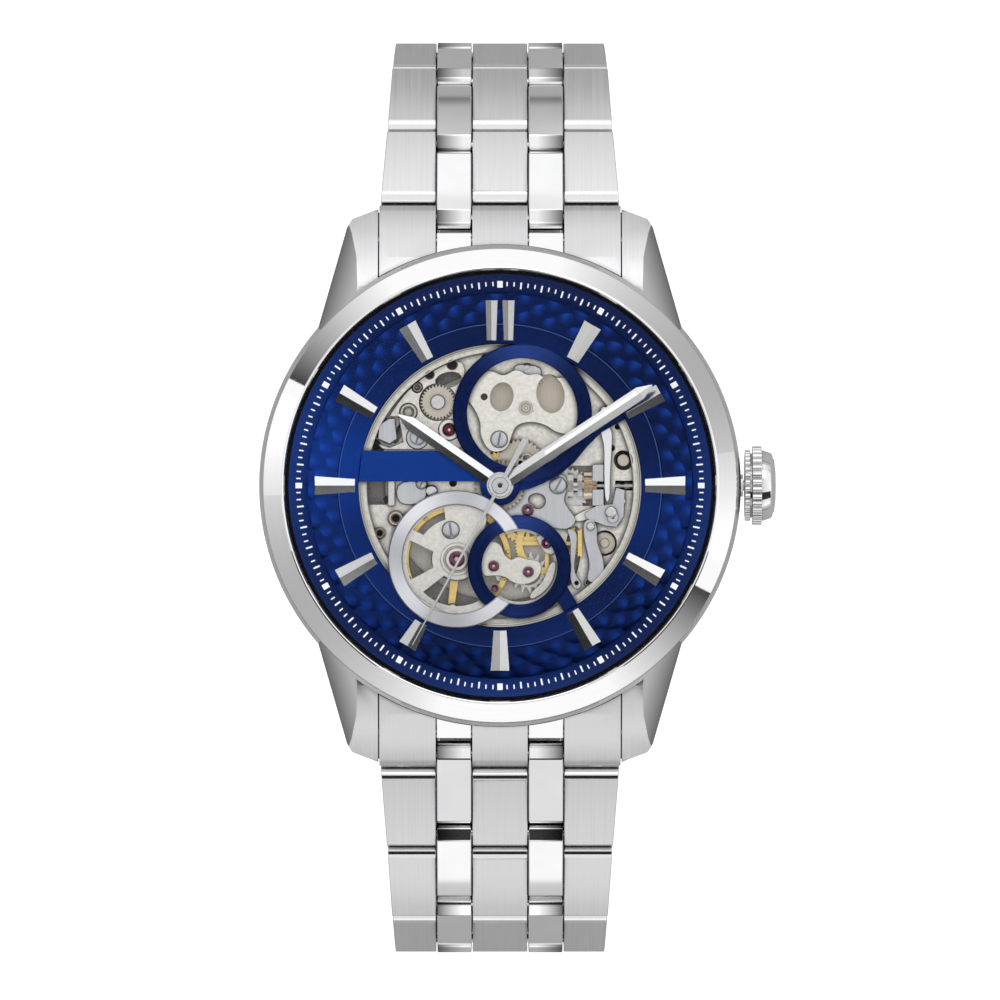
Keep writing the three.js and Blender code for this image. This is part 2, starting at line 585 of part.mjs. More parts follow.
// Pallet fork: two arms that reach the escape wheel, and a forked lever that reaches the balance.
function palletFork() {
  const level = [4.45, 4.6];
  const lever = prism([
    [0, -0.2], [1.9, -0.12], [2.45, -0.3], [2.45, -0.12], [2.2, 0],
    [2.45, 0.12], [2.45, 0.3], [1.9, 0.12], [0, 0.2],
  ], ...level);
  const arms = prism([
    [0.2, 0], [-0.5, 1.05], [-0.95, 1.15], [-0.95, 0.85], [-0.45, 0],
    [-0.95, -0.85], [-0.95, -1.15], [-0.5, -1.05],
  ], ...level);
  const arbor = disc([0, 0], 0.13, 3.1, 4.9, 10);
  return union(lever, arms, arbor)
    .rotate([0, 0, bearing(PALLET, BALANCE)])
    .translate(PALLET[0], PALLET[1], 0);
}
place(movement, "pallet_fork", palletFork(), steelPolished);

// Balance: a smooth rim on two arms, its staff, and the roller that meets the fork.
function balanceWheel() {
  const rim = ring([0, 0], 4.2, 4.6, 5.0, 5.5, 30);
  const arm = block(-4.3, 4.3, -0.3, 0.3, 5.1, 5.3).rotate([0, 0, 83]);
  const staff = disc([0, 0], 0.16, 3.1, 7.95, 10);
  const boss = disc([0, 0], 0.6, 5.0, 5.45, 16);
  const roller = disc([0, 0], 0.5, 4.2, 4.3, 14);
  return union(rim, arm, staff, boss, roller).translate(BALANCE[0], BALANCE[1], 0);
}
place(movement, "balance_wheel", balanceWheel(), gold);

const hairspring = union(
  spiral(0.42, 1.9, 3, 0.08, 5.75, 5.9, 12),
  ring([0, 0], 0.2, 0.46, 5.75, 5.9, 10),
);
place(movement, "hairspring", hairspring.translate(BALANCE[0], BALANCE[1], 0), blueSpring);

// ---------------------------------------------------------------- movement: under the dial
const [cannonR, minuteR] = meshRadii(length(MINUTE_WHEEL), TEETH.cannon, TEETH.minute);
const [minutePinionR, hourR] = meshRadii(length(MINUTE_WHEEL), TEETH.minutePinion, TEETH.hour);

function cannonPinion() {
  const low = PLATE_TOP + 0.02;
  const phase = gapAt([0, 0], MINUTE_WHEEL, TEETH.cannon);
  const teeth = wheelBlank([0, 0], TEETH.cannon, cannonR, low, 7.8, phase);
  const pipe = disc([0, 0], 0.5, low, 9.76, 16);
  return cut(union(teeth, pipe), disc([0, 0], 0.38, 7, 9.3, 12), disc([0, 0], 0.2, 7, 10, 12));
}
place(movement, "cannon_pinion", cannonPinion(), steelPolished);

const minutePinionPhase = gapAt(MINUTE_WHEEL, [0, 0], TEETH.minutePinion);
const minuteWheel = union(
  wheelBlank([0, 0], TEETH.minute, minuteR, PLATE_TOP + 0.02, 7.78, toothAt(MINUTE_WHEEL, [0, 0])),
  wheelBlank([0, 0], TEETH.minutePinion, minutePinionR, 7.7, 8.12, minutePinionPhase),
);
place(movement, "minute_wheel", cut(minuteWheel, disc([0, 0], 0.2, 7, 9, 12))
  .translate(MINUTE_WHEEL[0], MINUTE_WHEEL[1], 0), brass);

const hourWheel = cut(
  union(
    wheelBlank([0, 0], TEETH.hour, hourR, 7.92, 8.12, toothAt([0, 0], MINUTE_WHEEL)),
    disc([0, 0], 0.8, 7.92, 9.4, 20),
  ),
  disc([0, 0], 0.54, 7, 10, 16),
);
place(movement, "hour_wheel", hourWheel, brass);

// ---------------------------------------------------------------- winding and setting
// A solid made along Z, laid along +X at the stem's height.
const alongStem = (made) => alongX(made, 0, CROWN_Z);

const slidingPinion = cut(
  union(
    prism(toothed(12, 0.92), 5.75, 6.25),
    disc([0, 0], 0.62, 5.75, 7.0, 16),
    prism(toothed(12, 0.92), 6.6, 7.0),
  ),
  disc([0, 0], 0.5, 5, 8, 14),
);
place(movement, "sliding_pinion", alongStem(slidingPinion), steelPolished);
const windingPinion = cut(prism(toothed(TEETH.winding, 1.08), 7.15, 8.25), disc([0, 0], 0.5, 5, 9, 14));
place(movement, "winding_pinion", alongStem(windingPinion), brass);

const stem = union(disc([0, 0], 0.44, 5.3, 21.9, 14), disc([0, 0], 0.3, 4.7, 5.4, 10));
place(watch, "winding_stem", alongStem(cut(stem, ring([0, 0], 0.3, 0.6, 10.2, 10.6, 14))), steelPolished);

place(watch, "crown_tube", alongStem(ring([0, 0], 0.55, 0.95, 15.7, 20.7, 20)), steelPolished);

const CROWN_RIBS = 20;
function crown() {
  const ribbed = (low, high) => prism(toothed(CROWN_RIBS, 3.12), low, high);
  const cap = turned([[0, 22.25], [2.95, 22.25], [2.7, 23.15], [2.3, 23.4], [0, 23.5]], 20);
  const body = union(ribbed(20.8, 21.3), disc([0, 0], 2.75, 21.2, 21.6, 20), ribbed(21.5, 22.3), cap);
  return cut(body, disc([0, 0], 1.05, 20, 21.0, 16), disc([0, 0], 0.5, 20, 22.0, 12));
}
place(watch, "crown", alongStem(crown()), steelPolished);

// Setting lever: pivots on the main plate, and its pin drops towards the stem's groove.
const LEVER_PIVOT = [9.6, -2.7];
function settingLever() {
  const low = PLATE_TOP + 0.02;
  const plate = prism([
    [9.0, -3.4], [9.9, -3.5], [10.5, -2.6], [10.6, -0.4], [9.9, -0.2],
    [9.6, -1.6], [8.2, -1.75], [7.2, -2.4], [7.4, -2.8],
  ], low, 7.9);
  const boss = disc(LEVER_PIVOT, 0.45, low, 8.05, 14);
  return cut(union(plate, boss), disc(LEVER_PIVOT, 0.15, 7, 9, 10));
}
place(movement, "setting_lever", settingLever(), steelMatt);

// ---------------------------------------------------------------- rotor
function rotor() {
  const half = (radius, low, high) => prism([...arc([0, 0], radius, 180, 360, 22)], low, high);
  const web = union(half(12.2, 1.8, 2.2), disc([0, 0], 2.0, 1.8, 2.5, 20));
  const rim = cut(half(12.2, 1.8, 3.6), disc([0, 0], 10.6, 1, 5, 36));
  const window = oval([0, 0], 2.0, 1.4, 0, 1, 3).translate(0, -6.6, 0);
  const windows = [-35, 35].map((turn) => window.rotate([0, 0, turn]));
  return cut(union(web, rim), ...windows, disc([0, 0], 1.05, 1, 5, 20));
}
place(movement, "rotor", rotor(), steelPolished);

// ---------------------------------------------------------------- bracelet
// Outlines [along the bracelet, up] about a hinge axis. A block ends past its far hinge, and a bar
// starts before its near hinge, so that the bars of one link lie between the blocks of the one before.
const BLOCK_FAR = [[0.15, LINK_LOW], [0.75, -0.6], [1.0, 0.1], [1.0, 0.95], [0.8, LINK_BRUSHED]];
const BLOCK_NEAR = [[2.1, LINK_BRUSHED], [1.2, 0.55], [1.17, -0.3], [1.65, LINK_LOW]];
const BAR_NEAR = [[-0.1, LINK_POLISHED], [-1.1, 0.4], [-1.1, -0.3], [-0.45, LINK_LOW]];
const RECESS = -1.35; // where the bars of a link stop, before its far hinge

const shifted = (points, by) => points.map(([u, w]) => [u + by, w]);

// At each hinge, a pin stands out of each bar and turns in the outer block of the link before.
const PIN_R = 0.4;
const PIN_LENGTH = 1.6;
const pinAt = (side, u, w, radius, reach) => {
  const [a, b] = [side * (BAR_OUT - 0.4), side * (BAR_OUT + reach)].sort((p, q) => p - q);
  return alongX(disc([0, 0], radius, a, b, 6), u, w);
};
const pins = () => [-1, 1].map((side) => pinAt(side, 0, 0, PIN_R, PIN_LENGTH));
const pinHoles = (u, w) => [-1, 1].map((side) => pinAt(side, u, w, PIN_R + 0.14, PIN_LENGTH + 0.15));

// One link from its near hinge at u = 0, with the bracelet's width at each end.
function linkSolid(widthNear, widthFar) {
  const blockSide = [...BLOCK_NEAR, ...shifted(BLOCK_FAR, PITCH)];
  const far = PITCH + RECESS;
  const barSide = [...BAR_NEAR, [far, LINK_LOW], [far, LINK_POLISHED - 0.12], [far - 0.12, LINK_POLISHED]];
  const [near, wide] = [widthNear / 2, widthFar / 2];
  const plan = [[-near, -3], [near, -3], [near, 1], [wide, PITCH + 1.2], [-wide, PITCH + 1.2], [-near, 1]];
  const blocks = drawn(blockSide, -near, near).intersect(prism(plan, -3, 3));
  const slots = [-1, 1].map((side) => {
    const [a, b] = [side * (BAR_IN - 0.06), side * (BAR_OUT + 0.06)].sort((p, q) => p - q);
    return block(a, b, far - 0.01, PITCH + 3, -3, 3);
  });
  const bars = [-1, 1].map((side) => {
    const [a, b] = [side * BAR_IN, side * BAR_OUT].sort((p, q) => p - q);
    return drawn(barSide, a, b);
  });
  return union(cut(blocks, ...slots, ...pinHoles(PITCH, 0)), ...bars, ...pins());
}

// Hinge positions [y, z] down one half of the bracelet.
function hinges(slopes) {
  const at = [HINGE_0];
  for (const slope of slopes) {
    const [y, z] = at.at(-1);
    at.push([y + PITCH * Math.cos(slope * deg), z - PITCH * Math.sin(slope * deg)]);
  }
  return at;
}

function half(side, label, slopes) {
  const strip = new THREE.Group();
  if (side < 0) strip.rotation.z = Math.PI;
  bracelet.add(strip);
  const at = hinges(slopes);
  slopes.forEach((slope, i) => {
    const mesh = place(strip, `link_${label}_${i + 1}`, linkSolid(WIDTHS[i], WIDTHS[i + 1]), steelBrushed);
    mesh.position.set(0, at[i][0], at[i][1]);
    mesh.rotation.x = -slope * deg;
  });
  place(strip, `end_link_${label}`, endLink(), steelBrushed);
  const springBar = alongX(disc([0, 0], 0.42, -11.1, 11.1, 12), ...SPRING_BAR);
  place(strip, `spring_bar_${label}`, springBar, steelPolished);
  return at.at(-1);
}

// The end link fills the space between two lugs, up to the case, and holds the first hinge.
function endLink() {
  const [y, z] = HINGE_0;
  const wide = LUG_GAP / 2 - 0.08;
  const side = [
    [15, 1.9], [17, 1.55], [20, 1.2], [y - 0.5, z + LINK_LOW], [y + 0.6, z - 0.7], [y + 1.0, z - 0.1],
    [y + 1.0, z + 0.85], [y + 0.5, z + 1.25], [21.5, 6.0], [19.5, 7.25], [17, 8.2], [15, 8.5],
  ];
  const bars = [-1, 1].map((s) => {
    const [a, b] = [s * (BAR_IN - 0.06), s * (BAR_OUT + 0.06)].sort((p, q) => p - q);
    return block(a, b, y + RECESS, y + 3, -3, 12);
  });
  const body = cut(drawn(side, -wide, wide), ...bars, disc([0, 0], CASE_R + GAP, -3, 12, 72));
  const barHole = alongX(disc([0, 0], 0.52, -12, 12, 12), ...SPRING_BAR);
  return cut(body, barHole, ...pinHoles(y, z));
}

const end12 = half(1, "12", SLOPES_12);
const end6 = half(-1, "6", SLOPES_6);

// ---------------------------------------------------------------- clasp
// The folding clasp joins the two halves. Its parts are made flat in a frame whose Y runs from the
// six o'clock half's last hinge to the twelve o'clock half's, and whose -Z is the outside.
const clasp = new THREE.Group();
const claspLength = length([-end6[0], end6[1]], end12);
clasp.position.set(0, -end6[0], end6[1]);
clasp.rotation.x = Math.atan2(end12[1] - end6[1], end12[0] + end6[0]);
bracelet.add(clasp);

const CLASP_HALF = 9.1;
const CLASP_FLOOR = -2.0;
const BLADE = { thick: 0.8, half: 7.0 };
const COVER_HINGE = [3.2, -1.2]; // distance along Y, then Z
const MIDDLE_HINGE = [claspLength - 5.2, -0.55];

// Two ears that reach between the blocks of a link, about the hinge at Y = at. Side is +1 or -1, and
// the tail is the part of the outline that joins the ears to their plate.
function ears(at, side, tail) {
  const profile = [...BAR_NEAR, ...tail].map(([u, w]) => [at + side * u, -w]);
  return [-1, 1].map((s) => {
    const [a, b] = [s * BAR_IN, s * BAR_OUT].sort((p, q) => p - q);
    return drawn(profile, a, b);
  });
}

const COVER_TAIL = [[1.2, -1.1], [1.6, -0.2], [3.9, 1.9], [3.9, 2.4], [2.6, 2.4], [1.75, 1.6]];
const BLADE_TAIL = [[1.7, -1.0], [2.1, -0.4], [4.0, -0.4], [4.0, 0.35], [2.1, 0.35], [1.9, 0.9]];

// Cover: a channel with side walls that hides the folded blades.
function claspCover() {
  const far = claspLength - 1.7;
  const outer = drawn([
    [1.6, -1.6], [3, -2.9], [far - 1.4, -2.9], [far, -1.6], [far, 1.2], [1.6, 1.2],
  ], -CLASP_HALF, CLASP_HALF);
  const inside = block(-CLASP_HALF + 1.0, CLASP_HALF - 1.0, 0, claspLength, CLASP_FLOOR, 3);
  const buttonHoles = block(-12, 12, claspLength / 2 - 2.1, claspLength / 2 + 2.1, -1.3, 0.3);
  const hingePin = alongX(disc([0, 0], PIN_R, -CLASP_HALF + 0.5, CLASP_HALF - 0.5, 12), ...COVER_HINGE);
  const lastPins = pins().map((made) => made.translate(0, claspLength, 0));
  // notches that let the short blade's ears swing down past the cover's end
  const notches = [-1, 1].map((side) => {
    const [a, b] = [side * (BAR_IN - 0.15), side * (BAR_OUT + 0.2)].sort((p, q) => p - q);
    return block(a, b, 1, 3.7, -4, CLASP_FLOOR + 0.1);
  });
  const shell = cut(outer, inside, buttonHoles, ...notches);
  return union(shell, hingePin, ...lastPins, ...ears(claspLength, -1, COVER_TAIL));
}

// Long blade: from the cover's hinge near the six o'clock end to the middle hinge near the other end.
function longBlade() {
  const strip = block(-BLADE.half, BLADE.half, 3.75, MIDDLE_HINGE[0] - 1.1, -1.5, -1.5 + BLADE.thick);
  const eye = alongX(ring([0, 0], PIN_R + 0.1, 0.75, -BLADE.half, BLADE.half, 12), ...COVER_HINGE);
  const window = block(-3.5, 3.5, 9, claspLength - 9, -3, 3);
  const hingePin = alongX(disc([0, 0], PIN_R, -BLADE.half + 0.2, BLADE.half - 0.2, 12), ...MIDDLE_HINGE);
  const [hingeY] = MIDDLE_HINGE;
  const knuckle = block(-BLADE.half, -BLADE.half + 2, hingeY - 1.2, hingeY + 0.5, -1.5, -0.1);
  return union(cut(strip, window), eye, hingePin, knuckle, knuckle.mirror([1, 0, 0]));
}

// Short blade: folded on top of the long one, and hinged to the six o'clock half.
function shortBlade() {
  const half = BLADE.half - 2.3;
  const strip = block(-half, half, 3.6, MIDDLE_HINGE[0] - 0.6, -0.4, -0.4 + BLADE.thick);
  const eye = alongX(ring([0, 0], PIN_R + 0.1, 0.85, -half, half, 12), ...MIDDLE_HINGE);
  return union(strip, eye, ...ears(0, 1, BLADE_TAIL));
}

// Push button: stands in the cover's side wall.
function claspButton(side) {
  const [a, b] = [side * (CLASP_HALF - 1.2), side * (CLASP_HALF + 1)].sort((p, q) => p - q);
  const body = block(a, b, claspLength / 2 - 1.95, claspLength / 2 + 1.95, -1.2, 0.2);
  return body;
}

place(clasp, "clasp_cover", claspCover(), steelBrushed);
place(clasp, "clasp_long_blade", longBlade(), steelPolished);
place(clasp, "clasp_short_blade", shortBlade(), steelPolished);
place(clasp, "clasp_button_right", claspButton(1), steelPolished);
place(clasp, "clasp_button_left", claspButton(-1), steelPolished);

export default watch;
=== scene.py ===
"""A self-winding skeleton wristwatch on a steel bracelet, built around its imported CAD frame.

Lengths are in millimetres, in the frame's own axes, unless a comment says metres: the dial faces
+Z, twelve o'clock is +Y and the crown is at +X. Every object is made in metres. A bearing is in
degrees clockwise from twelve; any other angle is anticlockwise from +X.
"""
import json
import math

import bmesh
import bpy
from mathutils import Matrix, Vector


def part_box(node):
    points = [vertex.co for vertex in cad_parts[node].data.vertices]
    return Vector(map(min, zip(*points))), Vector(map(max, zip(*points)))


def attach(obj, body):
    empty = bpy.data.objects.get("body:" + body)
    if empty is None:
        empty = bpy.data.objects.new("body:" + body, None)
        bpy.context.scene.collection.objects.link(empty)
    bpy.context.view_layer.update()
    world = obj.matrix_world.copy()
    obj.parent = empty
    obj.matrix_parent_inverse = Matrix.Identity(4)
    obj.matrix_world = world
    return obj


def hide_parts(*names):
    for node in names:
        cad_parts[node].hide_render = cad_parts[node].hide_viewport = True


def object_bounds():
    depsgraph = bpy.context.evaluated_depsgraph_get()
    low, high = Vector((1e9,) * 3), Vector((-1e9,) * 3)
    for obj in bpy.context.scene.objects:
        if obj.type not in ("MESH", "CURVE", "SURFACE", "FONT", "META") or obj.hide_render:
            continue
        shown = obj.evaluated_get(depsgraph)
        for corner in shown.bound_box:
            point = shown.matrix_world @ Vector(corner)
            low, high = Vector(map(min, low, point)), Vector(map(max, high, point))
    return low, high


MM = 0.001
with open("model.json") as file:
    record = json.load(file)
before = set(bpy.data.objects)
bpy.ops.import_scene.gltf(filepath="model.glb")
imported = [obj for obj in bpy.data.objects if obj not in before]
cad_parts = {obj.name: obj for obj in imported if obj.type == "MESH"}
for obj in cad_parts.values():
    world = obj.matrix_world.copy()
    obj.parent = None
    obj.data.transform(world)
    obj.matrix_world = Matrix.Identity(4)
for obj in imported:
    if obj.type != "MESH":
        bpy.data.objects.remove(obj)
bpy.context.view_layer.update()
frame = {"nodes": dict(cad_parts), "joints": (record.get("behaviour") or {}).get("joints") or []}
joints = {j["name"]: j for j in frame["joints"]}


def lows(node):
    return [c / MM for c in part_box(node)[0]]


def highs(node):
    return [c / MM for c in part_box(node)[1]]


def pivot(joint):
    return [c / MM for c in joints[joint]["pos_m"]]


# ---------------------------------------------------------------- driving sizes, from the frame
CASE_R = highs("case_middle")[0]
CASE_TOP = highs("case_middle")[2]
BEZEL_R = highs("bezel")[0]
BEZEL_TOP = highs("bezel")[2]
OPENING_R = 18.3
MARKER_RISE = 0.5  # the dial node's markers stand this far above the dial's own face
DIAL_R = highs("dial")[0]
DIAL_TOP = highs("dial")[2] - MARKER_RISE
DIAL_LOW = lows("dial")[2]
APERTURE_R = 12.05
PLATE_TOP = 7.6
PLATE_LOW = lows("main_plate")[2]
CROWN_Z = pivot("crown_turn")[2]
BALANCE = pivot("balance_swing")[:2]
UPPER_LOOP = ((1.9, 6.13), 4.7, 5.92)  # centre, inner and outer radius
LOWER_LOOP = ((1.65, -6.9), 3.22, 4.39)
SILVER_LOOP = (tuple(BALANCE), 4.62, 5.86)
HOUR_TURN = 304.8  # the hands' bearings
MINUTE_TURN = 56.6
SECOND_TURN = 208.8
AXIS = 0.001  # the inner radius of a turned part that is solid to its middle


# ---------------------------------------------------------------- materials
class Nodes:
    """Makes the nodes of a tree and joins them. An operand is a number or a socket."""

    def __init__(self, tree):
        self.nodes, self.links = tree.nodes, tree.links

    def node(self, kind, **values):
        made = self.nodes.new(kind)
        for key, value in values.items():
            if key in made.inputs:
                made.inputs[key].default_value = value
            else:
                setattr(made, key, value)
        return made

    def join(self, source, target):
        self.links.new(source, target)

    def math(self, operation, a, b=0.0):
        made = self.node("ShaderNodeMath", operation=operation)
        for i, value in enumerate((a, b)):
            if isinstance(value, (int, float)):
                made.inputs[i].default_value = value
            else:
                self.join(value, made.inputs[i])
        return made.outputs[0]

    def add(self, a, b):
        return self.math("ADD", a, b)

    def sub(self, a, b):
        return self.math("SUBTRACT", a, b)

    def mul(self, a, b):
        return self.math("MULTIPLY", a, b)

    def div(self, a, b):
        return self.math("DIVIDE", a, b)

    def split(self, vector):
        parts = self.node("ShaderNodeSeparateXYZ")
        self.join(vector, parts.inputs[0])
        return parts.outputs

    def front(self):
        """1 on a face's front and 0 on its back."""
        return self.sub(1.0, self.node("ShaderNodeNewGeometry").outputs["Backfacing"])


class Shader(Nodes):
    """A new material and its node tree."""

    def __init__(self, name):
        self.material = bpy.data.materials.new(name)
        self.material.use_nodes = True
        super().__init__(self.material.node_tree)
        self.bsdf = self.nodes["Principled BSDF"]

    def place(self):
        return self.node("ShaderNodeTexCoord").outputs["Object"]

    def scaled(self, scale):
        mapping = self.node("ShaderNodeMapping", Scale=scale)
        self.join(self.place(), mapping.inputs["Vector"])
        return mapping.outputs[0]

    def polar(self, centre):
        """Radius in millimetres and angle in radians about a vertical axis."""
        place = self.split(self.place())
        x = self.sub(place[0], centre[0] * MM)
        y = self.sub(place[1], centre[1] * MM)
        squares = self.add(self.mul(x, x), self.mul(y, y))
        return self.div(self.math("SQRT", squares), MM), self.math("ARCTAN2", y, x)

    def noise(self, vector, detail=3.0):
        made = self.node("ShaderNodeTexNoise", Scale=1.0, Detail=detail)
        self.join(vector, made.inputs["Vector"])
        return made.outputs[0]

    def speckle(self, scale, detail=3.0):
        """Noise of the same scale, per metre, every way."""
        return self.noise(self.scaled((scale, scale, scale)), detail)

    def ramp(self, factor, low, high, start=0.3, end=0.7):
        made = self.node("ShaderNodeValToRGB")
        for element, position, tone in zip(made.color_ramp.elements, (start, end), (low, high)):
            element.position = position
            element.color = (*tone, 1)
        self.join(factor, made.inputs[0])
        return made.outputs[0]

    def painted_crease_shade(self, tone, reach, depth):
        """Darkens a tone in corners and beside steps with painted shade, found by ambient
        occlusion.
        """
        found = self.node("ShaderNodeAmbientOcclusion", Distance=reach * MM, samples=6)
        return self.scale(tone, self.math("POWER", found.outputs["AO"], depth))

    def scale(self, tone, gain):
        mix = self.node("ShaderNodeVectorMath", operation="SCALE")
        self.join(tone, mix.inputs[0])
        self.join(gain, mix.inputs["Scale"])
        return mix.outputs[0]

    def facing(self, direction, depth):
        """Painted shade: a gain that falls, by up to a depth, on facets that lean towards a
        direction.
        """
        dot = self.node("ShaderNodeVectorMath", operation="DOT_PRODUCT")
        self.join(self.node("ShaderNodeNewGeometry").outputs["True Normal"], dot.inputs[0])
        dot.inputs[1].default_value = direction
        # none at a dot product of 0.05 or less, and all of it at 0.43 or more
        lean = self.div(self.sub(dot.outputs["Value"], 0.05), 0.38)
        lean = self.math("MINIMUM", self.math("MAXIMUM", lean, 0.0), 1.0)
        return self.sub(1.0, self.mul(lean, depth))

    def bump(self, height, distance):
        made = self.node("ShaderNodeBump", Strength=1.0, Distance=distance * MM)
        self.join(height, made.inputs["Height"])
        self.join(made.outputs[0], self.bsdf.inputs["Normal"])

    def set(self, **values):
        for key, value in values.items():
            self.bsdf.inputs[key.replace("_", " ")].default_value = value


def shade(colour, factor):
    return tuple(min(1.0, c * factor) for c in colour)


# painted shade falls on the flanks that face this way
PAINTED_SHADE_SIDE = (-0.55, -0.83, 0.0)  # the way that shaded flanks of ridges face


def metal(name, colour, roughness, grain="fine", contrast=0.1, depth=0.004, centre=(0, 0), painted_fan=0.0,
        crease_shade=0.0, flank_shade=0.0):
    """Bare metal. Grain is along (brushed along Y), ring (turned about a centre), fine or mirror.

    Flank shade paints shade on the facets that face one way, as a studio flag would darken one side
    of each ridge on a dial."""
    s = Shader(name)
    s.set(Metallic=1.0)
    if grain == "along":
        field = s.noise(s.scaled((7000, 90, 90)), detail=5)
    elif grain == "ring":
        radius, angle = s.polar(centre)
        joined = s.node("ShaderNodeCombineXYZ")
        s.join(s.mul(radius, 7.0), joined.inputs[0])
        s.join(s.mul(angle, 1.5), joined.inputs[1])
        field = s.noise(joined.outputs[0], detail=4)
    elif grain == "mirror":
        field = s.speckle(300, 2)
    else:
        field = s.speckle(3200, 6)
    tone = s.ramp(field, shade(colour, 1 - contrast), shade(colour, 1 + contrast))
    # painted highlight: light and dark fans round the centre, as a turned ring reflects
    if painted_fan:
        angle = s.polar(centre)[1]
        lobes = s.math("COSINE", s.mul(s.add(angle, 0.9), 4.0))
        tone = s.scale(tone, s.add(1.0, s.mul(lobes, painted_fan)))
    # painted shade on the facets that face one way
    if flank_shade:
        tone = s.scale(tone, s.facing(PAINTED_SHADE_SIDE, flank_shade))
    # painted shade in corners and beside steps
    if crease_shade:
        tone = s.painted_crease_shade(tone, 0.5, crease_shade)
    s.join(tone, s.bsdf.inputs["Base Color"])
    rough = s.add(roughness, s.mul(s.sub(field, 0.5), roughness * 0.7))
    s.join(rough, s.bsdf.inputs["Roughness"])
    if depth:
        s.bump(field, depth)
    return s.material


def painted_reflection_steel(name, direction, start, end, dark, light, roughness=0.12):
    """Polished steel with a painted reflection, whose tone runs from dark to light across a strip.

    Direction weighs |x| and |y|; start and end are where their sum is darkest and lightest."""
    s = Shader(name)
    s.set(Metallic=1.0)
    x, y, _ = s.split(s.place())
    across = s.mul(s.math("ABSOLUTE", x), direction[0] / MM)
    along = s.mul(s.math("ABSOLUTE", y), direction[1] / MM)
    level = s.div(s.sub(s.add(across, along), start), end - start)
    field = s.add(level, s.mul(s.speckle(300), 0.08))
    s.join(s.ramp(field, dark, light, 0.0, 1.0), s.bsdf.inputs["Base Color"])
    s.set(Roughness=roughness)
    return s.material


def lacquer(name, colour, bright, roughness=0.28, sheen_lobes=(), grain=0.002, metallic=0.9, scale_highlight=0.0,
        centre=(0, 0), rings=0.0):
    """Coloured metallic lacquer with painted sheen, brighter at some angles: (degrees, power,
    gain).
    """
    s = Shader(name)
    field = s.speckle(2600, 5)
    radius, angle = s.polar(centre)
    glow = s.mul(field, 0.16)
    if rings:
        turned_marks = s.noise(s.mul(radius, 9.0), detail=3)
        glow = s.add(glow, s.mul(s.sub(turned_marks, 0.5), rings))
    # painted sheen: brighter lobes at the given angles about the centre
    for bearing, power, gain in sheen_lobes:
        lobe = s.math("COSINE", s.sub(angle, math.radians(bearing)))
        lobe = s.math("POWER", s.math("MAXIMUM", lobe, 0.0), power)
        glow = s.add(glow, s.mul(lobe, gain))
    # a painted highlight on each embossed dome, from a vertex attribute
    if scale_highlight:
        painted_highlight = s.node("ShaderNodeAttribute", attribute_name="scale_highlight").outputs["Fac"]
        glow = s.add(s.mul(glow, 0.6), s.mul(painted_highlight, scale_highlight))
    s.join(s.ramp(glow, colour, bright, 0.0, 1.0), s.bsdf.inputs["Base Color"])
    s.set(Metallic=metallic, Roughness=roughness, Coat_Weight=0.06, Coat_Roughness=0.1,
        Specular_IOR_Level=0.25)
    s.bump(field, grain)
    return s.material


def paint(name, colour, roughness=0.5, contrast=0.05, glow=0.0, sheen=0.5):
    s = Shader(name)
    field = s.speckle(2500, 3)
    s.join(s.ramp(field, shade(colour, 1 - contrast), shade(colour, 1 + contrast)),
        s.bsdf.inputs["Base Color"])
    # glow paints light into the paint, which shines as if lit though it is no lamp
    s.set(Roughness=roughness, Emission_Color=(*colour, 1), Emission_Strength=glow,
        Specular_IOR_Level=sheen)
    s.bump(field, 0.001)
    return s.material


def jewel_material():
    s = Shader("ruby")
    # painted sheen: the ruby is lighter where it turns away from view and darker where it faces it
    facing = s.node("ShaderNodeLayerWeight", Blend=0.35).outputs["Facing"]
    field = s.add(facing, s.mul(s.speckle(2500), 0.4))
    s.join(s.ramp(field, (0.07, 0.0, 0.025), (0.34, 0.015, 0.13), 0.1, 0.8),
        s.bsdf.inputs["Base Color"])
    s.set(Roughness=0.08, Coat_Weight=1.0)
    return s.material


def glass_material():
    """Thin clear crystal: clear straight on, with a faint sheen that grows towards its edge."""
    s = Shader("sapphire")
    clear = s.node("ShaderNodeBsdfTransparent")
    gloss = s.node("ShaderNodeBsdfGlossy", Roughness=0.03)
    tint = s.speckle(60, 1)
    s.join(s.ramp(tint, (0.985, 0.99, 1.0), (1.0, 1.0, 1.0)), clear.inputs["Color"])
    fresnel = s.node("ShaderNodeFresnel", IOR=1.06)
    mix = s.node("ShaderNodeMixShader")
    # only the outer faces shine: a ray on its way out passes straight through
    s.join(s.mul(fresnel.outputs[0], s.front()), mix.inputs[0])
    s.join(clear.outputs[0], mix.inputs[1])
    s.join(gloss.outputs[0], mix.inputs[2])
    s.join(mix.outputs[0], s.nodes["Material Output"].inputs["Surface"])
    return s.material


STEEL = (0.80, 0.80, 0.81)
CREAM = (0.83, 0.80, 0.73)
GREY = (0.60, 0.61, 0.63)
# crease shade paints shade into the corners and beside the steps of these metals
brushed = metal("brushed_steel", shade(STEEL, 0.96), 0.34, "along", 0.05, 0.003, crease_shade=1.2)
case_side = metal("case_side_steel", STEEL, 0.22, "mirror", 0.04, 0)
polished = metal("polished_steel", (0.90, 0.90, 0.91), 0.07, "mirror", 0.03, 0, crease_shade=0.5)
bezel_steel = metal("bezel_steel", (0.93, 0.92, 0.92), 0.035, "ring", 0.015, 0)
# the hands and batons get painted shade on the flanks that face one way
hand_steel = metal("hand_steel", (0.70, 0.70, 0.69), 0.22, "mirror", 0.03, 0, flank_shade=0.66)
# painted reflection: the lugs' polished facets darken towards their outer edge
facet_steel = painted_reflection_steel("facet_steel", (0.961, 0.277), 18.55, 16.6, (0.30, 0.30, 0.30),
    (1.0, 1.0, 1.0))
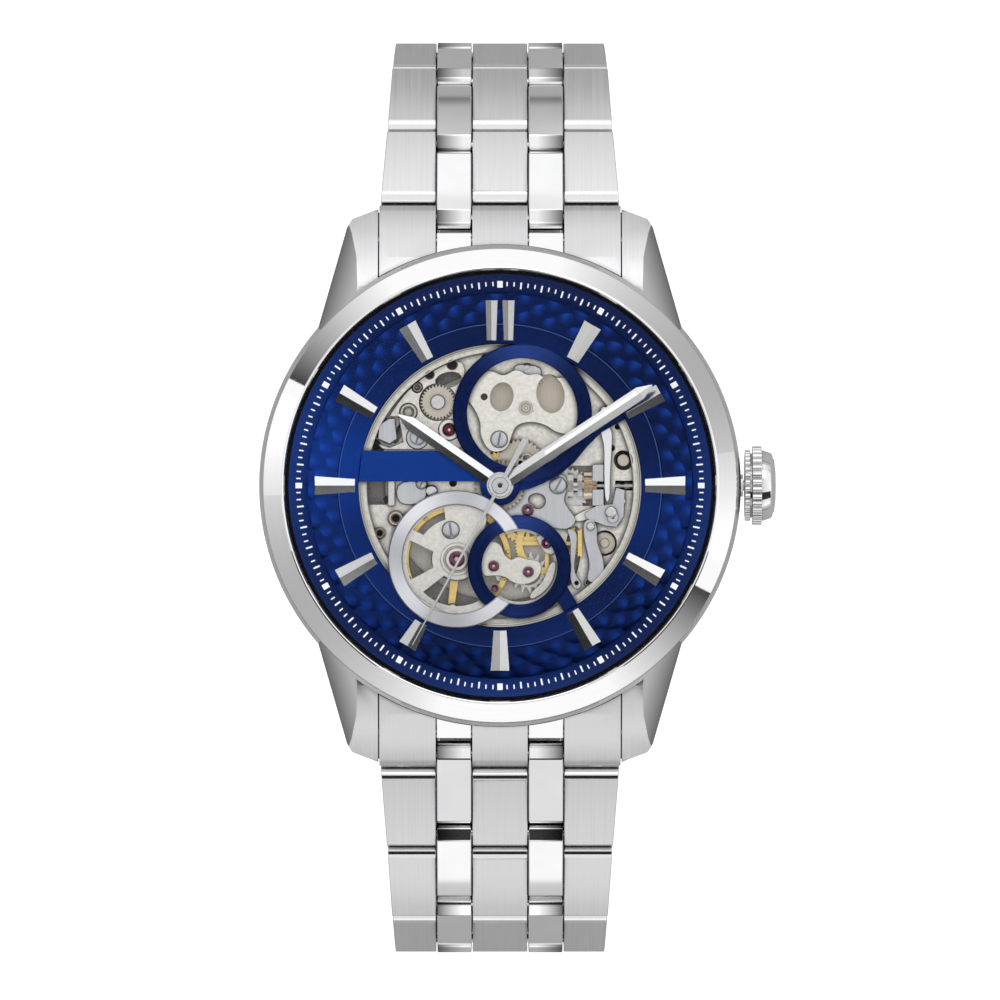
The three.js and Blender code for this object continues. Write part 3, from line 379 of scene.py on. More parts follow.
# painted reflection: the bars' sloping ends darken towards their outer side
bar_end_steel = painted_reflection_steel("bar_end_steel", (1, 0), 5.2, 3.1, (0.16, 0.16, 0.16), (1.0, 1.0, 1.0))
# the turned ring carries painted highlight fans
ring_steel = metal("turned_steel", (0.78, 0.78, 0.80), 0.34, "ring", 0.07, 0.002, tuple(BALANCE),
    0.22)
nickel = metal("nickel_plate", CREAM, 0.42, "fine", 0.18, 0.012, crease_shade=2.6)
nickel_light = metal("nickel_bridge", shade(CREAM, 1.06), 0.38, "fine", 0.12, 0.008, crease_shade=2.2)
nickel_ring = metal("nickel_rim", (0.88, 0.85, 0.74), 0.32, "ring", 0.1, 0.004, crease_shade=1.5)
grey_steel = metal("grey_steel", GREY, 0.30, "along", 0.08, 0.003, crease_shade=1.8)
stud_steel = metal("stud_steel", (0.68, 0.68, 0.67), 0.22, "fine", 0.08, 0.001, crease_shade=1.2)
grey_dark = metal("grey_dark", (0.36, 0.35, 0.34), 0.42, "fine", 0.2, 0.008)
gilt = metal("gilt_brass", (0.90, 0.66, 0.26), 0.24, "fine", 0.08, 0.002, crease_shade=0.8)
beige = metal("beige_brass", (0.64, 0.58, 0.49), 0.38, "ring", 0.08, 0.003, (-5.2, 7.16),
    crease_shade=2.0)
rotor_steel = metal("rotor_steel", (0.70, 0.70, 0.70), 0.26, "ring", 0.1, 0.003)
spring_blue = metal("spring_blue", (0.10, 0.17, 0.38), 0.25, "fine", 0.06, 0.001)
navy, azure = (0.003, 0.009, 0.045), (0.006, 0.05, 0.34)
# painted sheen on the dial's lacquers: the angle, power and gain of each bright lobe
PAINTED_SHEEN = ((172, 14, 0.7), (215, 14, 0.25), (130, 14, 0.12), (-12, 18, 0.3), (75, 20, 0.1),
    (-70, 16, 0.15))
dial_plain = lacquer("dial_lacquer", navy, azure, 0.26, PAINTED_SHEEN)
dial_scales = lacquer("dial_scales", (0.002, 0.007, 0.042), (0.010, 0.07, 0.46), 0.34, PAINTED_SHEEN,
    scale_highlight=0.55)
dial_bar = lacquer("dial_bar", (0.004, 0.03, 0.2), (0.012, 0.085, 0.46), 0.42, ((180, 1, 0.3),),
    grain=0.006)
# painted sheen on the loops, about their own centres
PAINTED_LOOP_SHEEN = ((88, 5, 0.75), (265, 8, 0.3))
loop_tones = ((0.004, 0.014, 0.085), (0.05, 0.11, 0.42), 0.3)
upper_blue = lacquer("upper_loop_lacquer", *loop_tones, PAINTED_LOOP_SHEEN, centre=UPPER_LOOP[0], rings=0.5)
lower_blue = lacquer("lower_loop_lacquer", *loop_tones, PAINTED_LOOP_SHEEN, centre=LOWER_LOOP[0], rings=0.5)
# the chapter ring's lacquer has painted sheen at three angles
chapter_blue = lacquer("chapter_lacquer", (0.002, 0.014, 0.095), (0.006, 0.045, 0.27), 0.5,
    ((165, 6, 0.8), (0, 10, 0.6), (-90, 12, 0.5)), metallic=0.4)
# white print and lume are given a painted glow, as if lit, though neither is a lamp
white_print = paint("white_print", (0.92, 0.93, 0.95), glow=0.3)
lume = paint("lume", (0.90, 0.92, 0.92), 0.6, glow=0.35)
black = paint("black_gap", (0.003, 0.003, 0.004), 0.6, 0.3, sheen=0.1)
# painted shade: a dark paint for holes, gaps and seams, where there is only shade
painted_shade = paint("painted_shade", (0.03, 0.025, 0.02), 0.5, 0.3)
ruby = jewel_material()
sapphire = glass_material()


# ---------------------------------------------------------------- mesh helpers
PIECE_EDGE, CAD_EDGE = 25, 35  # edges that turn by more degrees than this are softened


def linked(name, data):
    """A new object in the scene, for a mesh, a light or a camera."""
    made = bpy.data.objects.new(name, data)
    bpy.context.scene.collection.objects.link(made)
    return made


def soften(made, width, segments, angle):
    """Bevels the edges of an object that turn by more than an angle in degrees."""
    edge = made.modifiers.new("edge", "BEVEL")
    edge.width = width * MM
    edge.segments = segments
    edge.limit_method = "ANGLE"
    edge.angle_limit = math.radians(angle)
    return edge


def piece(name, mesh, materials, body="case", nodes=(), bevel=0.0, smooth=None, segments=2,
        slot=None):
    """Links a mesh as a finished piece that rides on a body and stands for some CAD nodes."""
    made = linked(name, mesh)
    if mesh.materials:
        mesh.materials.clear()
    for material in materials if isinstance(materials, (list, tuple)) else [materials]:
        mesh.materials.append(material)
    if bevel:
        soften(made, bevel, segments, PIECE_EDGE).harden_normals = smooth is not None
    if smooth is not None:
        mesh.shade_smooth()
        mesh.set_sharp_from_angle(angle=math.radians(smooth))
    if nodes:
        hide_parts(*nodes)
    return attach(made, body)


def restyle(node, material, bevel=0.0):
    """Gives a CAD node that stays in view its own material."""
    shown = frame["nodes"][node]
    shown.data.materials.clear()
    shown.data.materials.append(material)
    if bevel:
        soften(shown, bevel, 2, CAD_EDGE)


def from_bmesh(name, bm):
    mesh = bpy.data.meshes.new(name)
    bm.to_mesh(mesh)
    bm.free()
    return mesh


def mesh_from(name, build):
    """Runs build on a fresh bmesh, in millimetres, and returns the mesh in metres."""
    bm = bmesh.new()
    build(bm)
    bmesh.ops.recalc_face_normals(bm, faces=bm.faces)
    bmesh.ops.scale(bm, vec=(MM, MM, MM), verts=bm.verts)
    return from_bmesh(name, bm)


def built(name, build, materials, body="case", nodes=(), **finish):
    """A piece whose mesh is what build makes."""
    return piece(name, mesh_from(name, build), materials, body, nodes, **finish)


def each(table, add):
    """A build that runs add on every row of a table."""

    def build(bm):
        for row in table:
            add(bm, *row)

    return build


def merged(name, meshes):
    bm = bmesh.new()
    for mesh in meshes:
        bm.from_mesh(mesh)
    return from_bmesh(name, bm)


def skirt(bm, lower, upper):
    """A band of faces between two closed rows of vertices."""
    for i in range(len(lower)):
        n = (i + 1) % len(lower)
        bm.faces.new((lower[i], lower[n], upper[n], upper[i]))


def closed(bm, lower, upper):
    bm.faces.new(lower[::-1])
    bm.faces.new(upper)
    skirt(bm, lower, upper)


def add_turned(bm, profile, segments=160, at=(0, 0), matrix=None):
    """A closed profile of (radius, z) turned about a vertical axis."""
    rings = []
    for i in range(segments):
        a = 2 * math.pi * i / segments
        c, s = math.cos(a), math.sin(a)
        rings.append([bm.verts.new((at[0] + r * c, at[1] + r * s, z)) for r, z in profile])
    for i in range(segments):
        here, there = rings[i], rings[(i + 1) % segments]
        for k in range(len(profile)):
            n = (k + 1) % len(profile)
            bm.faces.new((here[k], there[k], there[n], here[n]))
    if matrix is not None:
        bmesh.ops.transform(bm, matrix=matrix, verts=[v for ring in rings for v in ring])


def add_prism(bm, points, low, high, matrix=None):
    """A flat outline raised from low to high."""
    bottom = [bm.verts.new((x, y, low)) for x, y in points]
    top = [bm.verts.new((x, y, high)) for x, y in points]
    closed(bm, bottom, top)
    if matrix is not None:
        bmesh.ops.transform(bm, matrix=matrix, verts=bottom + top)


def add_drawn(bm, profile, x0, x1):
    """A profile of (y, z) drawn out along X."""
    near = [bm.verts.new((x0, y, z)) for y, z in profile]
    far = [bm.verts.new((x1, y, z)) for y, z in profile]
    closed(bm, near, far)


def turned(name, profile, material, nodes=(), segments=160, at=(0, 0), smooth=30, bevel=0.0,
        body="case"):
    built(name, lambda bm: add_turned(bm, profile, segments, at), material, body, nodes,
          bevel=bevel, smooth=smooth)


def arc(at, radius, start, end, steps=24):
    """Points round a circle from one angle to another, in degrees."""
    angles = [math.radians(start + (end - start) * i / steps) for i in range(steps + 1)]
    return [(at[0] + radius * math.cos(a), at[1] + radius * math.sin(a)) for a in angles]


def circle(at, radius, steps=48):
    return arc(at, radius, 0, 360 - 360 / steps, steps - 1)


def turn_points(points, degrees, at=(0, 0)):
    c, s = math.cos(math.radians(degrees)), math.sin(math.radians(degrees))
    return [(at[0] + x * c - y * s, at[1] + x * s + y * c) for x, y in points]


def oval(at, rx, ry, turn=0, steps=40):
    angles = [2 * math.pi * i / steps for i in range(steps)]
    return turn_points([(rx * math.cos(a), ry * math.sin(a)) for a in angles], turn, at)


def rectangle(x0, x1, y0, y1):
    """Also the profile of a plain turned ring: inner and outer radius, low and high."""
    return [(x0, y0), (x1, y0), (x1, y1), (x0, y1)]


def rounded(points, steps=5):
    """A closed outline through the points' middles, rounded like a quadratic spline."""
    out = []
    count = len(points)
    for i in range(count):
        a, b, c = points[i - 1], points[i], points[(i + 1) % count]
        start = ((a[0] + b[0]) / 2, (a[1] + b[1]) / 2)
        end = ((b[0] + c[0]) / 2, (b[1] + c[1]) / 2)
        for k in range(steps):
            t = k / steps
            w = ((1 - t) ** 2, 2 * t * (1 - t), t * t)
            out.append(tuple(w[0] * start[n] + w[1] * b[n] + w[2] * end[n] for n in (0, 1)))
    return out


def within(points, limit=11.35):
    """Pulls points in towards the middle so that none is farther from it than a limit."""
    out = []
    for x, y in points:
        r = math.hypot(x, y)
        k = min(1.0, limit / r) if r else 1.0
        out.append((x * k, y * k))
    return out


def gear_outline(at, teeth, radius, depth):
    """Outline of a wheel with trapezoid teeth whose tips are narrower than their roots."""
    points = []
    step = 2 * math.pi / teeth
    for i in range(teeth):
        for r, off in ((radius - depth, -0.5), (radius - depth, -0.36), (radius, -0.18),
                (radius, 0.18), (radius - depth, 0.36)):
            a = (i + off) * step
            points.append((at[0] + r * math.cos(a), at[1] + r * math.sin(a)))
    return points


def boolean(mesh, cutters, operation="DIFFERENCE"):
    """Cuts meshes from a mesh, or joins them to it, one after another."""
    holder = linked("boolean_holder", mesh)
    tools = [linked("boolean_tool", cutter) for cutter in cutters]
    for tool in tools:
        step = holder.modifiers.new("step", "BOOLEAN")
        step.operation = operation
        step.solver = "MANIFOLD"
        step.object = tool
    graph = bpy.context.evaluated_depsgraph_get()
    made = bpy.data.meshes.new_from_object(holder.evaluated_get(graph))
    for used in (holder, *tools):
        bpy.data.objects.remove(used)
    return made


def prism_mesh(points, low, high):
    return mesh_from("prism", lambda bm: add_prism(bm, points, low, high))


def lathe_mesh(profile, segments=160, at=(0, 0)):
    return mesh_from("lathe", lambda bm: add_turned(bm, profile, segments, at))


def disc_mesh(at, radius, low, high, steps=64):
    return prism_mesh(circle(at, radius, steps), low, high)


def drawn_mesh(profile, x0, x1):
    return mesh_from("drawn", lambda bm: add_drawn(bm, profile, x0, x1))


# ---------------------------------------------------------------- case
ACROSS = Matrix.Rotation(math.pi / 2, 4, "Y")  # turns a part's axis from Z to X
BAR_Y, BAR_Z = 20.9, 2.6  # the spring bars' bores
STEEP_WALL = 0.62  # a case face whose normal rises less than this is polished


def lug_mesh(side_x, side_y):
    """A lug: a raised plan outline, cut to the shoulder's side profile, with a slanting facet."""
    gap = 10.4
    plan = [(gap, 14), (15.55, 13.3), (15.3, 14.2), (13.05, 22), (12.6, 22.75), (gap, 23.6)]
    shoulder = [(13, 8.85), (14, 8.75), (17, 8.3), (19.5, 7.35), (21.5, 6.1), (23.4, 4.55),
        (23.85, 3.4), (23.9, 1.6)]
    side = [(13, 2.4), (17, 1.7), (20, 0.7), (23.2, 0.5), *shoulder[::-1]]
    body = boolean(prism_mesh(plan, 0, 10), [drawn_mesh(side, 5, 20)], "INTERSECT")
    # the polished outer facet is a plane through three points, cut by a slab laid against it
    a, b, c = Vector((12.3, 15.5, 8.62)), Vector((15.5, 14.5, 4.6)), Vector((12.35, 20.6, 6.8))
    normal = (b - a).cross(c - a).normalized()
    if normal.x < 0:
        normal = -normal
    slab = prism_mesh(rectangle(-40, 40, -40, 40), 0, 20)
    slab.transform(Matrix.Translation(a * MM) @ normal.to_track_quat("Z", "Y").to_matrix().to_4x4())
    body = boolean(body, [slab])
    body.transform(Matrix.Diagonal((side_x, side_y, 1, 1)))
    if side_x * side_y < 0:
        body.flip_normals()
    return body


def build_case():
    ring = lathe_mesh([(17.1, 0.95), (18.5, 0.95), (20.3, 3.1), (CASE_R, 3.6), (CASE_R, 8.45),
            (20.38, 8.7), (20.2, CASE_TOP), (18.15, CASE_TOP), (18.15, 8.2), (15.6, 8.2),
            (15.6, 1.7), (17.1, 1.7)], 220)
    hollow = disc_mesh((0, 0), 18.6, -1, 12, 128)
    lugs = [boolean(lug_mesh(x, y), [hollow]) for x in (-1, 1) for y in (-1, 1)]
    tube = disc_mesh((0, 0), 1.0, 14, 22, 40)
    tube.transform(Matrix.Translation((0, 0, CROWN_Z * MM)) @ ACROSS)
    bores = [disc_mesh((0, 0), 0.52, -11.4, 11.4, 24) for _ in range(2)]
    for side, bore in zip((-1, 1), bores):
        bore.transform(Matrix.Translation((0, side * BAR_Y * MM, BAR_Z * MM)) @ ACROSS)
    mesh = boolean(boolean(ring, lugs, "UNION"), [tube, *bores])
    piece("case_middle_shell", mesh, [brushed, case_side, facet_steel], nodes=["case_middle"],
        bevel=0.12, smooth=32, segments=3, slot="steel_brushed")
    # the lugs' tops are brushed; their outer facets, the wall and everything steep are polished
    # the outer facets' steel carries a painted reflection, darker towards their outer edge
    for face in mesh.polygons:
        normal = face.normal
        outer_facet = abs(normal.x) > 0.3 and normal.z > 0.3 and abs(face.center.y) > 13.5 * MM
        face.material_index = 2 if outer_facet else int(abs(normal.z) < STEEP_WALL)


build_case()


def lug_gap_shade_strips(bm):
    """Dark strips of painted shade at the foot of the narrow gaps between the lugs and the end
    links.
    """
    for x in (-1, 1):
        for y in (-1, 1):
            spans = (*sorted((x * 10.31, x * 10.5)), *sorted((y * 17.0, y * 23.35)))
            add_prism(bm, rectangle(*spans), 1.9, 2.3)


built("lug_gap_shade", lug_gap_shade_strips, painted_shade)
turned("bezel_ring", [(OPENING_R, 8.95), (20.0, 8.95), (BEZEL_R, 9.05), (BEZEL_R, 10.0),
        (20.1, 10.08), (18.6, BEZEL_TOP - 0.04), (18.5, BEZEL_TOP), (18.4, BEZEL_TOP - 0.04),
        (OPENING_R, BEZEL_TOP - 0.2)], bezel_steel, ["bezel"], segments=360, smooth=8, bevel=0.02)
turned("crystal_glass", [(AXIS, 10.4), (18.2, 10.4), (18.25, 10.45), (18.25, 11.05), (18.05, 11.2),
        (15, 11.34), (10, 11.48), (5, 11.57), (AXIS, 11.6)], sapphire, ["crystal"], segments=128,
    smooth=60)
# a black ring in the narrow space under the crystal's edge, between the chapter ring and the bezel
turned("dark_gap_ring", rectangle(17.97, 18.27, 10.22, 10.37), black, segments=180)
turned("case_back_ring", [
    (11.8, 0.12), (11.95, 0), (15.5, 0), (15.9, 0.14), (16.95, 0.62), (17.05, 0.75), (17.05, 1.65),
    (12.6, 1.65), (12.6, 0.5), (11.8, 0.5),
], metal("case_back_steel", STEEL, 0.16, "ring", 0.05, 0.001), ["case_back"], segments=220)
turned("case_back_glass", [(AXIS, 0.03), (11.6, 0.03), (11.65, 0.08), (11.65, 0.55), (12.5, 0.55),
        (12.5, 1.5), (AXIS, 1.5)], sapphire, ["case_back_window"], segments=120)


# ---------------------------------------------------------------- crown
def flutes(count, radius, depth, steps=6):
    """Outline of a grip: rounded ridges with narrow valleys between them."""
    points = []
    for i in range(count * steps):
        phase = (i % steps) / steps
        swell = abs(math.sin(math.pi * phase)) ** 0.6
        r = radius - depth * (1 - swell)
        a = 2 * math.pi * i / (count * steps)
        points.append((r * math.cos(a), r * math.sin(a)))
    return points


def crown(bm):
    stem_way = Matrix.Translation((0, 0, CROWN_Z)) @ ACROSS
    add_prism(bm, flutes(30, 3.02, 0.3), 20.85, 21.3, stem_way)
    add_prism(bm, flutes(30, 3.36, 0.34), 21.48, 22.28, stem_way)
    collar = [(1.1, 20.82), (2.7, 20.82), (2.78, 21.2), (2.72, 21.5), (1.1, 21.5)]
    cap = [(AXIS, 22.2), (2.98, 22.2), (3.0, 22.4), (2.78, 23.05), (2.62, 23.2), (2.3, 23.26),
        (2.2, 23.36), (1.2, 23.47), (AXIS, 23.5)]
    for profile, segments in ((collar, 64), (cap, 96), (rectangle(0.45, 1.2, 20.9, 22.3), 40)):
        add_turned(bm, profile, segments, matrix=stem_way)


built("crown_grip", crown, polished, "crown", ["crown"], bevel=0.05, smooth=35,
    slot="steel_polished")


# ---------------------------------------------------------------- dial
TURNED_OUT = 13.7  # the dial's turned ring ends here, and a groove parts it from the scales
SCALES_IN, SCALES_OUT = 13.85, 16.35


def scales(r, a, count=40, rows=3):
    """Height, and a painted highlight, at a radius and angle, of staggered rows of overlapping
    embossed domes.
    """
    best, sheen = 0.0, 0.0
    v = (r - SCALES_IN) / ((SCALES_OUT - SCALES_IN) / rows)
    for row in range(int(v) - 1, int(v) + 2):
        if not 0 <= row < rows:
            continue
        u = a / (2 * math.pi) * count - (0.5 if row % 2 else 0.0)
        du = u - round(u)
        dv = v - (row + 0.45)
        swell = 1 - (du * du * 3.6 + dv * dv * 1.1)
        if swell > 0:
            height = math.sqrt(swell) * (0.75 + 0.25 * max(0.0, dv + 0.5))
            if height > best:
                best = height
                # painted highlight: brighter towards each dome's outer edge, just off its middle
                sheen = max(0.0, 0.5 + dv) * math.exp(-((du - 0.16) / 0.17) ** 2)
    return best, sheen


def build_dial_band():
    """The dial's rim: an annulus with a turned ring inside and an embossed zone outside."""
    bm = bmesh.new()
    angles = 880
    bands = [SCALES_IN + (SCALES_OUT - SCALES_IN) * (i + 1) / 30 for i in range(30)]
    radii = [APERTURE_R, 12.11, 13.66, 13.72, 13.78, SCALES_IN, *bands, 16.6, DIAL_R]

    def height(r, a):
        if SCALES_IN <= r < SCALES_OUT + 0.01:
            return DIAL_TOP - 0.10 + 0.13 * scales(r, a)[0]
        if r > SCALES_OUT:
            return DIAL_TOP - 0.02
        if r > TURNED_OUT:
            return DIAL_TOP + 0.035
        return DIAL_TOP if r > APERTURE_R else DIAL_TOP - 0.05

    rings = []
    for i in range(angles):
        a = 2 * math.pi * i / angles
        c, s = math.cos(a), math.sin(a)
        column = [(r, height(r, a)) for r in radii] + [(DIAL_R, DIAL_LOW), (APERTURE_R, DIAL_LOW)]
        rings.append([bm.verts.new((r * c * MM, r * s * MM, z * MM)) for r, z in column])
    count = len(rings[0])
    for i in range(angles):
        here, there = rings[i], rings[(i + 1) % angles]
        for k in range(count):
            n = (k + 1) % count
            face = bm.faces.new((here[k], here[n], there[n], there[k]))
            inside = k < len(radii) and SCALES_IN - 0.01 < radii[k] < SCALES_OUT + 0.01
            face.material_index = int(inside)
    bmesh.ops.recalc_face_normals(bm, faces=bm.faces)
    mesh = from_bmesh("dial_band", bm)
    # the painted highlight of each dome, kept on the vertices for the scales' lacquer
    scale_highlight = mesh.attributes.new("scale_highlight", "FLOAT", "POINT")
    for i, vertex in enumerate(mesh.vertices):
        x, y, _ = vertex.co
        r, a = math.hypot(x, y) / MM, math.atan2(y, x) % (2 * math.pi)
        embossed = SCALES_IN + 0.01 < r < SCALES_OUT - 0.01
        scale_highlight.data[i].value = scales(r, a)[1] if embossed else 0.0
    piece("dial_band", mesh, [dial_plain, dial_scales], nodes=["dial"], smooth=32, slot="dial_blue")


build_dial_band()
turned("dial_circle", [(13.70, DIAL_TOP), (13.78, DIAL_TOP), (13.77, DIAL_TOP + 0.06),
        (13.71, DIAL_TOP + 0.06)], metal("pale_line", (0.07, 0.14, 0.38), 0.3, "ring", 0.1, 0),
    segments=260)


def loop_piece(name, at, inner, outer, top, material, steps=150, grooves=9):
    """A flat ring with rounded rims and fine turned grooves on its top."""
    edge = 0.07
    profile = [(inner, DIAL_LOW), (outer, DIAL_LOW), (outer, top - edge), (outer - edge, top)]
    pitch = (outer - inner - 2 * edge) / (grooves or 1)
    for i in range(grooves):
        r = outer - edge - pitch * (i + 0.5)
        profile += [(r + pitch * 0.25, top), (r, top - 0.03), (r - pitch * 0.25, top)]
    profile += [(inner + edge, top), (inner, top - edge)]
    turned(name, profile, material, segments=steps, at=at, smooth=20)


loop_piece("upper_loop", *UPPER_LOOP, DIAL_TOP + 0.05, upper_blue)
loop_piece("lower_loop", *LOWER_LOOP, DIAL_TOP + 0.05, lower_blue)
loop_piece("dial_hub", (0, 0), 1.0, 1.67, DIAL_TOP + 0.06, dial_plain, 90, 0)


def build_arms():
    """The bars that tie the loops to the dial's rim, each stopping at the loops' openings."""
    upper_hole = disc_mesh(UPPER_LOOP[0], UPPER_LOOP[1] + 0.4, 8, 9, 120)
    lower_hole = disc_mesh(LOWER_LOOP[0], LOWER_LOOP[1] + 0.4, 8, 9, 120)
    hub_hole = disc_mesh((0, 0), 1.3, 8, 9, 60)
    left = prism_mesh([(-11.75, 2.95), (-12.04, 0.35), (-0.6, 0.35), (-0.6, 2.95)], DIAL_LOW,
        DIAL_TOP)
    curve = [(1.2, -0.5), (2.4, -0.32), (3.6, 0.15), (5.0, 0.85), (6.3, 1.95), (7.4, 3.3),
        (8.6, 4.5), (10.6, 5.65), (9.9, 6.75), (7.3, 4.9), (0, 1.6)]
    right = prism_mesh(curve, DIAL_LOW, DIAL_TOP)
    low = prism_mesh(turn_points(rectangle(9.75, 12.03, -0.66, 0.66), -60), DIAL_LOW, DIAL_TOP)
    ring_at, ring_in, ring_out = SILVER_LOOP
    neck = lathe_mesh(rectangle(ring_in + 0.12, ring_out - 0.12, DIAL_LOW, DIAL_TOP - 0.02), 160,
        ring_at)
    span = prism_mesh(rectangle(-0.9, 2.4, -3.6, -1.0), DIAL_LOW - 1, DIAL_TOP + 1)
    neck = boolean(neck, [span], "INTERSECT")
    bars = [
        ("left_bar", left, [upper_hole, hub_hole], dial_bar),
        ("right_bar", right, [upper_hole, hub_hole], dial_plain),
        ("low_bar", low, [], dial_plain),
        ("neck_bar", neck, [lower_hole, hub_hole], dial_plain),
    ]
    for name, mesh, holes, material in bars:
        piece(name, boolean(mesh, holes) if holes else mesh, material, bevel=0.05, smooth=30)


build_arms()


def build_sub_ring():
    at, inner, outer = SILVER_LOOP
    low, high = DIAL_TOP + 0.07, DIAL_TOP + 0.27
    ring = lathe_mesh([(inner, low), (outer, low), (outer, high - 0.1), (outer - 0.1, high),
            (inner + 0.1, high), (inner, high - 0.1)], 200, at)
    mesh = boolean(ring, [disc_mesh(LOWER_LOOP[0], LOWER_LOOP[1], 8, 9.5, 120),
            disc_mesh((0, 0), 1.32, 8, 9.5, 60)])
    piece("sub_ring_silver", mesh, ring_steel, nodes=["sub_ring"], bevel=0.03, smooth=30,
        slot="steel_grey")


build_sub_ring()


# ---------------------------------------------------------------- chapter ring and its print
SLOPE_FOOT, SLOPE_TOP = (16.5, 9.02), (17.86, 10.17)  # (radius, z) of the printed slope's two ends
turned("chapter_slope", [(16.45, DIAL_TOP + 0.02), (18.1, DIAL_TOP + 0.3), (18.1, 10.2),
        (17.92, 10.2), SLOPE_TOP, SLOPE_FOOT, (16.45, 8.95)], chapter_blue, ["chapter_ring"],
    segments=300, smooth=40)


def on_chapter(r, lift):
    share = (r - SLOPE_FOOT[0]) / (SLOPE_TOP[0] - SLOPE_FOOT[0])
    return SLOPE_FOOT[1] + share * (SLOPE_TOP[1] - SLOPE_FOOT[1]) + lift


def add_tick(bm, bearing, r0, r1, width):
    """A thin printed block on the sloping ring, at a bearing clockwise from twelve."""
    a = math.radians(90 - bearing)
    c, s = math.cos(a), math.sin(a)
    corners = []
    for lift in (-0.03, 0.02):
        for r, side in ((r0, -1), (r1, -1), (r1, 1), (r0, 1)):
            t = side * width / 2
            corners.append(bm.verts.new((r * c - t * s, r * s + t * c, on_chapter(r, lift))))
    closed(bm, corners[:4], corners[4:])


def ticks(bm):
    """Short ticks at each third of a minute, longer ones at the minutes, broad ones every five."""
    for i in range(180):
        if i % 15 == 0:
            size = (16.83, 17.38, 0.46)
        else:
            size = (16.96, 17.32, 0.11) if i % 3 else (16.78, 17.34, 0.14)
        add_tick(bm, 2 * i, *size)


built("minute_track", ticks, white_print)


# ---------------------------------------------------------------- markers
def add_baton(bm, bearing, r0, w0, w1, offset=0.0):
    """A baton with a ridge along its middle and small flats at its ends."""
    a = math.radians(90 - bearing)
    c, s = math.cos(a), math.sin(a)
    r1, height, side = 15.77, 0.52, 0.16
    base = DIAL_TOP - 0.06

    def at(r, t, z):
        t += offset
        return bm.verts.new((r * c - t * s, r * s + t * c, z))

    plan = ((r0, -w0 / 2), (r1, -w1 / 2), (r1, w1 / 2), (r0, w0 / 2))
    wall = base + side
    steep = (height - side) / (w1 / 2)
    foot, rim = ([at(r, t, z) for r, t in plan] for z in (base, wall))
    near, far = at(r0 + 0.02, 0, wall + steep * w0 / 2), at(r1 - 0.02, 0, wall + steep * w1 / 2)
    bm.faces.new(foot[::-1])
    skirt(bm, foot, rim)
    bm.faces.new((rim[0], rim[1], far, near))
    bm.faces.new((rim[2], rim[3], near, far))
    bm.faces.new((rim[3], rim[0], near))
    bm.faces.new((rim[1], rim[2], far))


def markers(bm):
    """Eleven single batons, the one at seven cut short by the lower loop, and a double one."""
    for hour in range(1, 12):
        add_baton(bm, 30 * hour, 13.45 if hour == 7 else 12.33, 1.12, 1.62)
    for side in (-1, 1):
        add_baton(bm, 0, 12.33, 0.8, 1.05, side * 0.72)


built("hour_markers", markers, hand_steel, bevel=0.018, slot="steel_polished")


# ---------------------------------------------------------------- hands
def pointing(bearing):
    return Matrix.Rotation(math.radians(-bearing), 4, "Z")


def build_hand(name, body, bearing, reach, low, top, boss, strip):
    """A faceted hand: a ridge between two flanks, a pointed tip, a turned boss and a white strip.

    The strip is the shares of the reach at which it starts and ends, and its side of the ridge."""
    half, edge, hole = 0.58, low + 0.07, 0.5
    shoulder, start = reach - 1.25, boss * 0.75

    def make(bm):
        def v(x, y, z):
            return bm.verts.new((x, y, z))

        outline = [(-half, start), (half, start), (half, shoulder), (0.07, reach), (-0.07, reach),
            (-half, shoulder)]
        foot = [v(x, y, low) for x, y in outline]
        rim = [v(x, y, edge) for x, y in outline]
        ridge = [v(0, start, top), v(0, shoulder, top)]
        bm.faces.new(foot[::-1])
        skirt(bm, foot, rim)
        bm.faces.new((rim[1], rim[2], ridge[1], ridge[0]))
        bm.faces.new((rim[5], rim[0], ridge[0], ridge[1]))
        bm.faces.new((rim[0], rim[1], ridge[0]))
        bm.faces.new((rim[2], rim[3], rim[4], ridge[1]))
        bm.faces.new((rim[4], rim[5], ridge[1]))
        add_turned(bm, [(hole, low), (boss, low), (boss, top - 0.04), (boss - 0.05, top),
                (hole, top)], 72)

    mesh = mesh_from(name, make)
    mesh.transform(pointing(bearing))
    piece(name, mesh, hand_steel, body, [body + "_hand"], 0.012, 28, slot="steel_polished")

    def fill(bm):
        a, b, side = reach * strip[0], reach * strip[1], strip[2]
        outline = [(side * 0.02, a), (side * 0.34, a + 0.1), (side * 0.34, b),
            (side * 0.02, b + 0.2)]
        add_prism(bm, outline if side < 0 else outline[::-1], edge, top + 0.012)

    paint_mesh = mesh_from(name + "_fill", fill)
    paint_mesh.transform(pointing(bearing))
    piece(name + "_fill", paint_mesh, lume, body, bevel=0.008)


build_hand("hour_hand_blade", "hour", HOUR_TURN, 10.55, 9.1, 9.38, 1.15, (0.33, 0.86, 1))
build_hand("minute_hand_blade", "minute", MINUTE_TURN, 15.5, 9.48, 9.73, 1.0, (0.30, 0.90, -1))


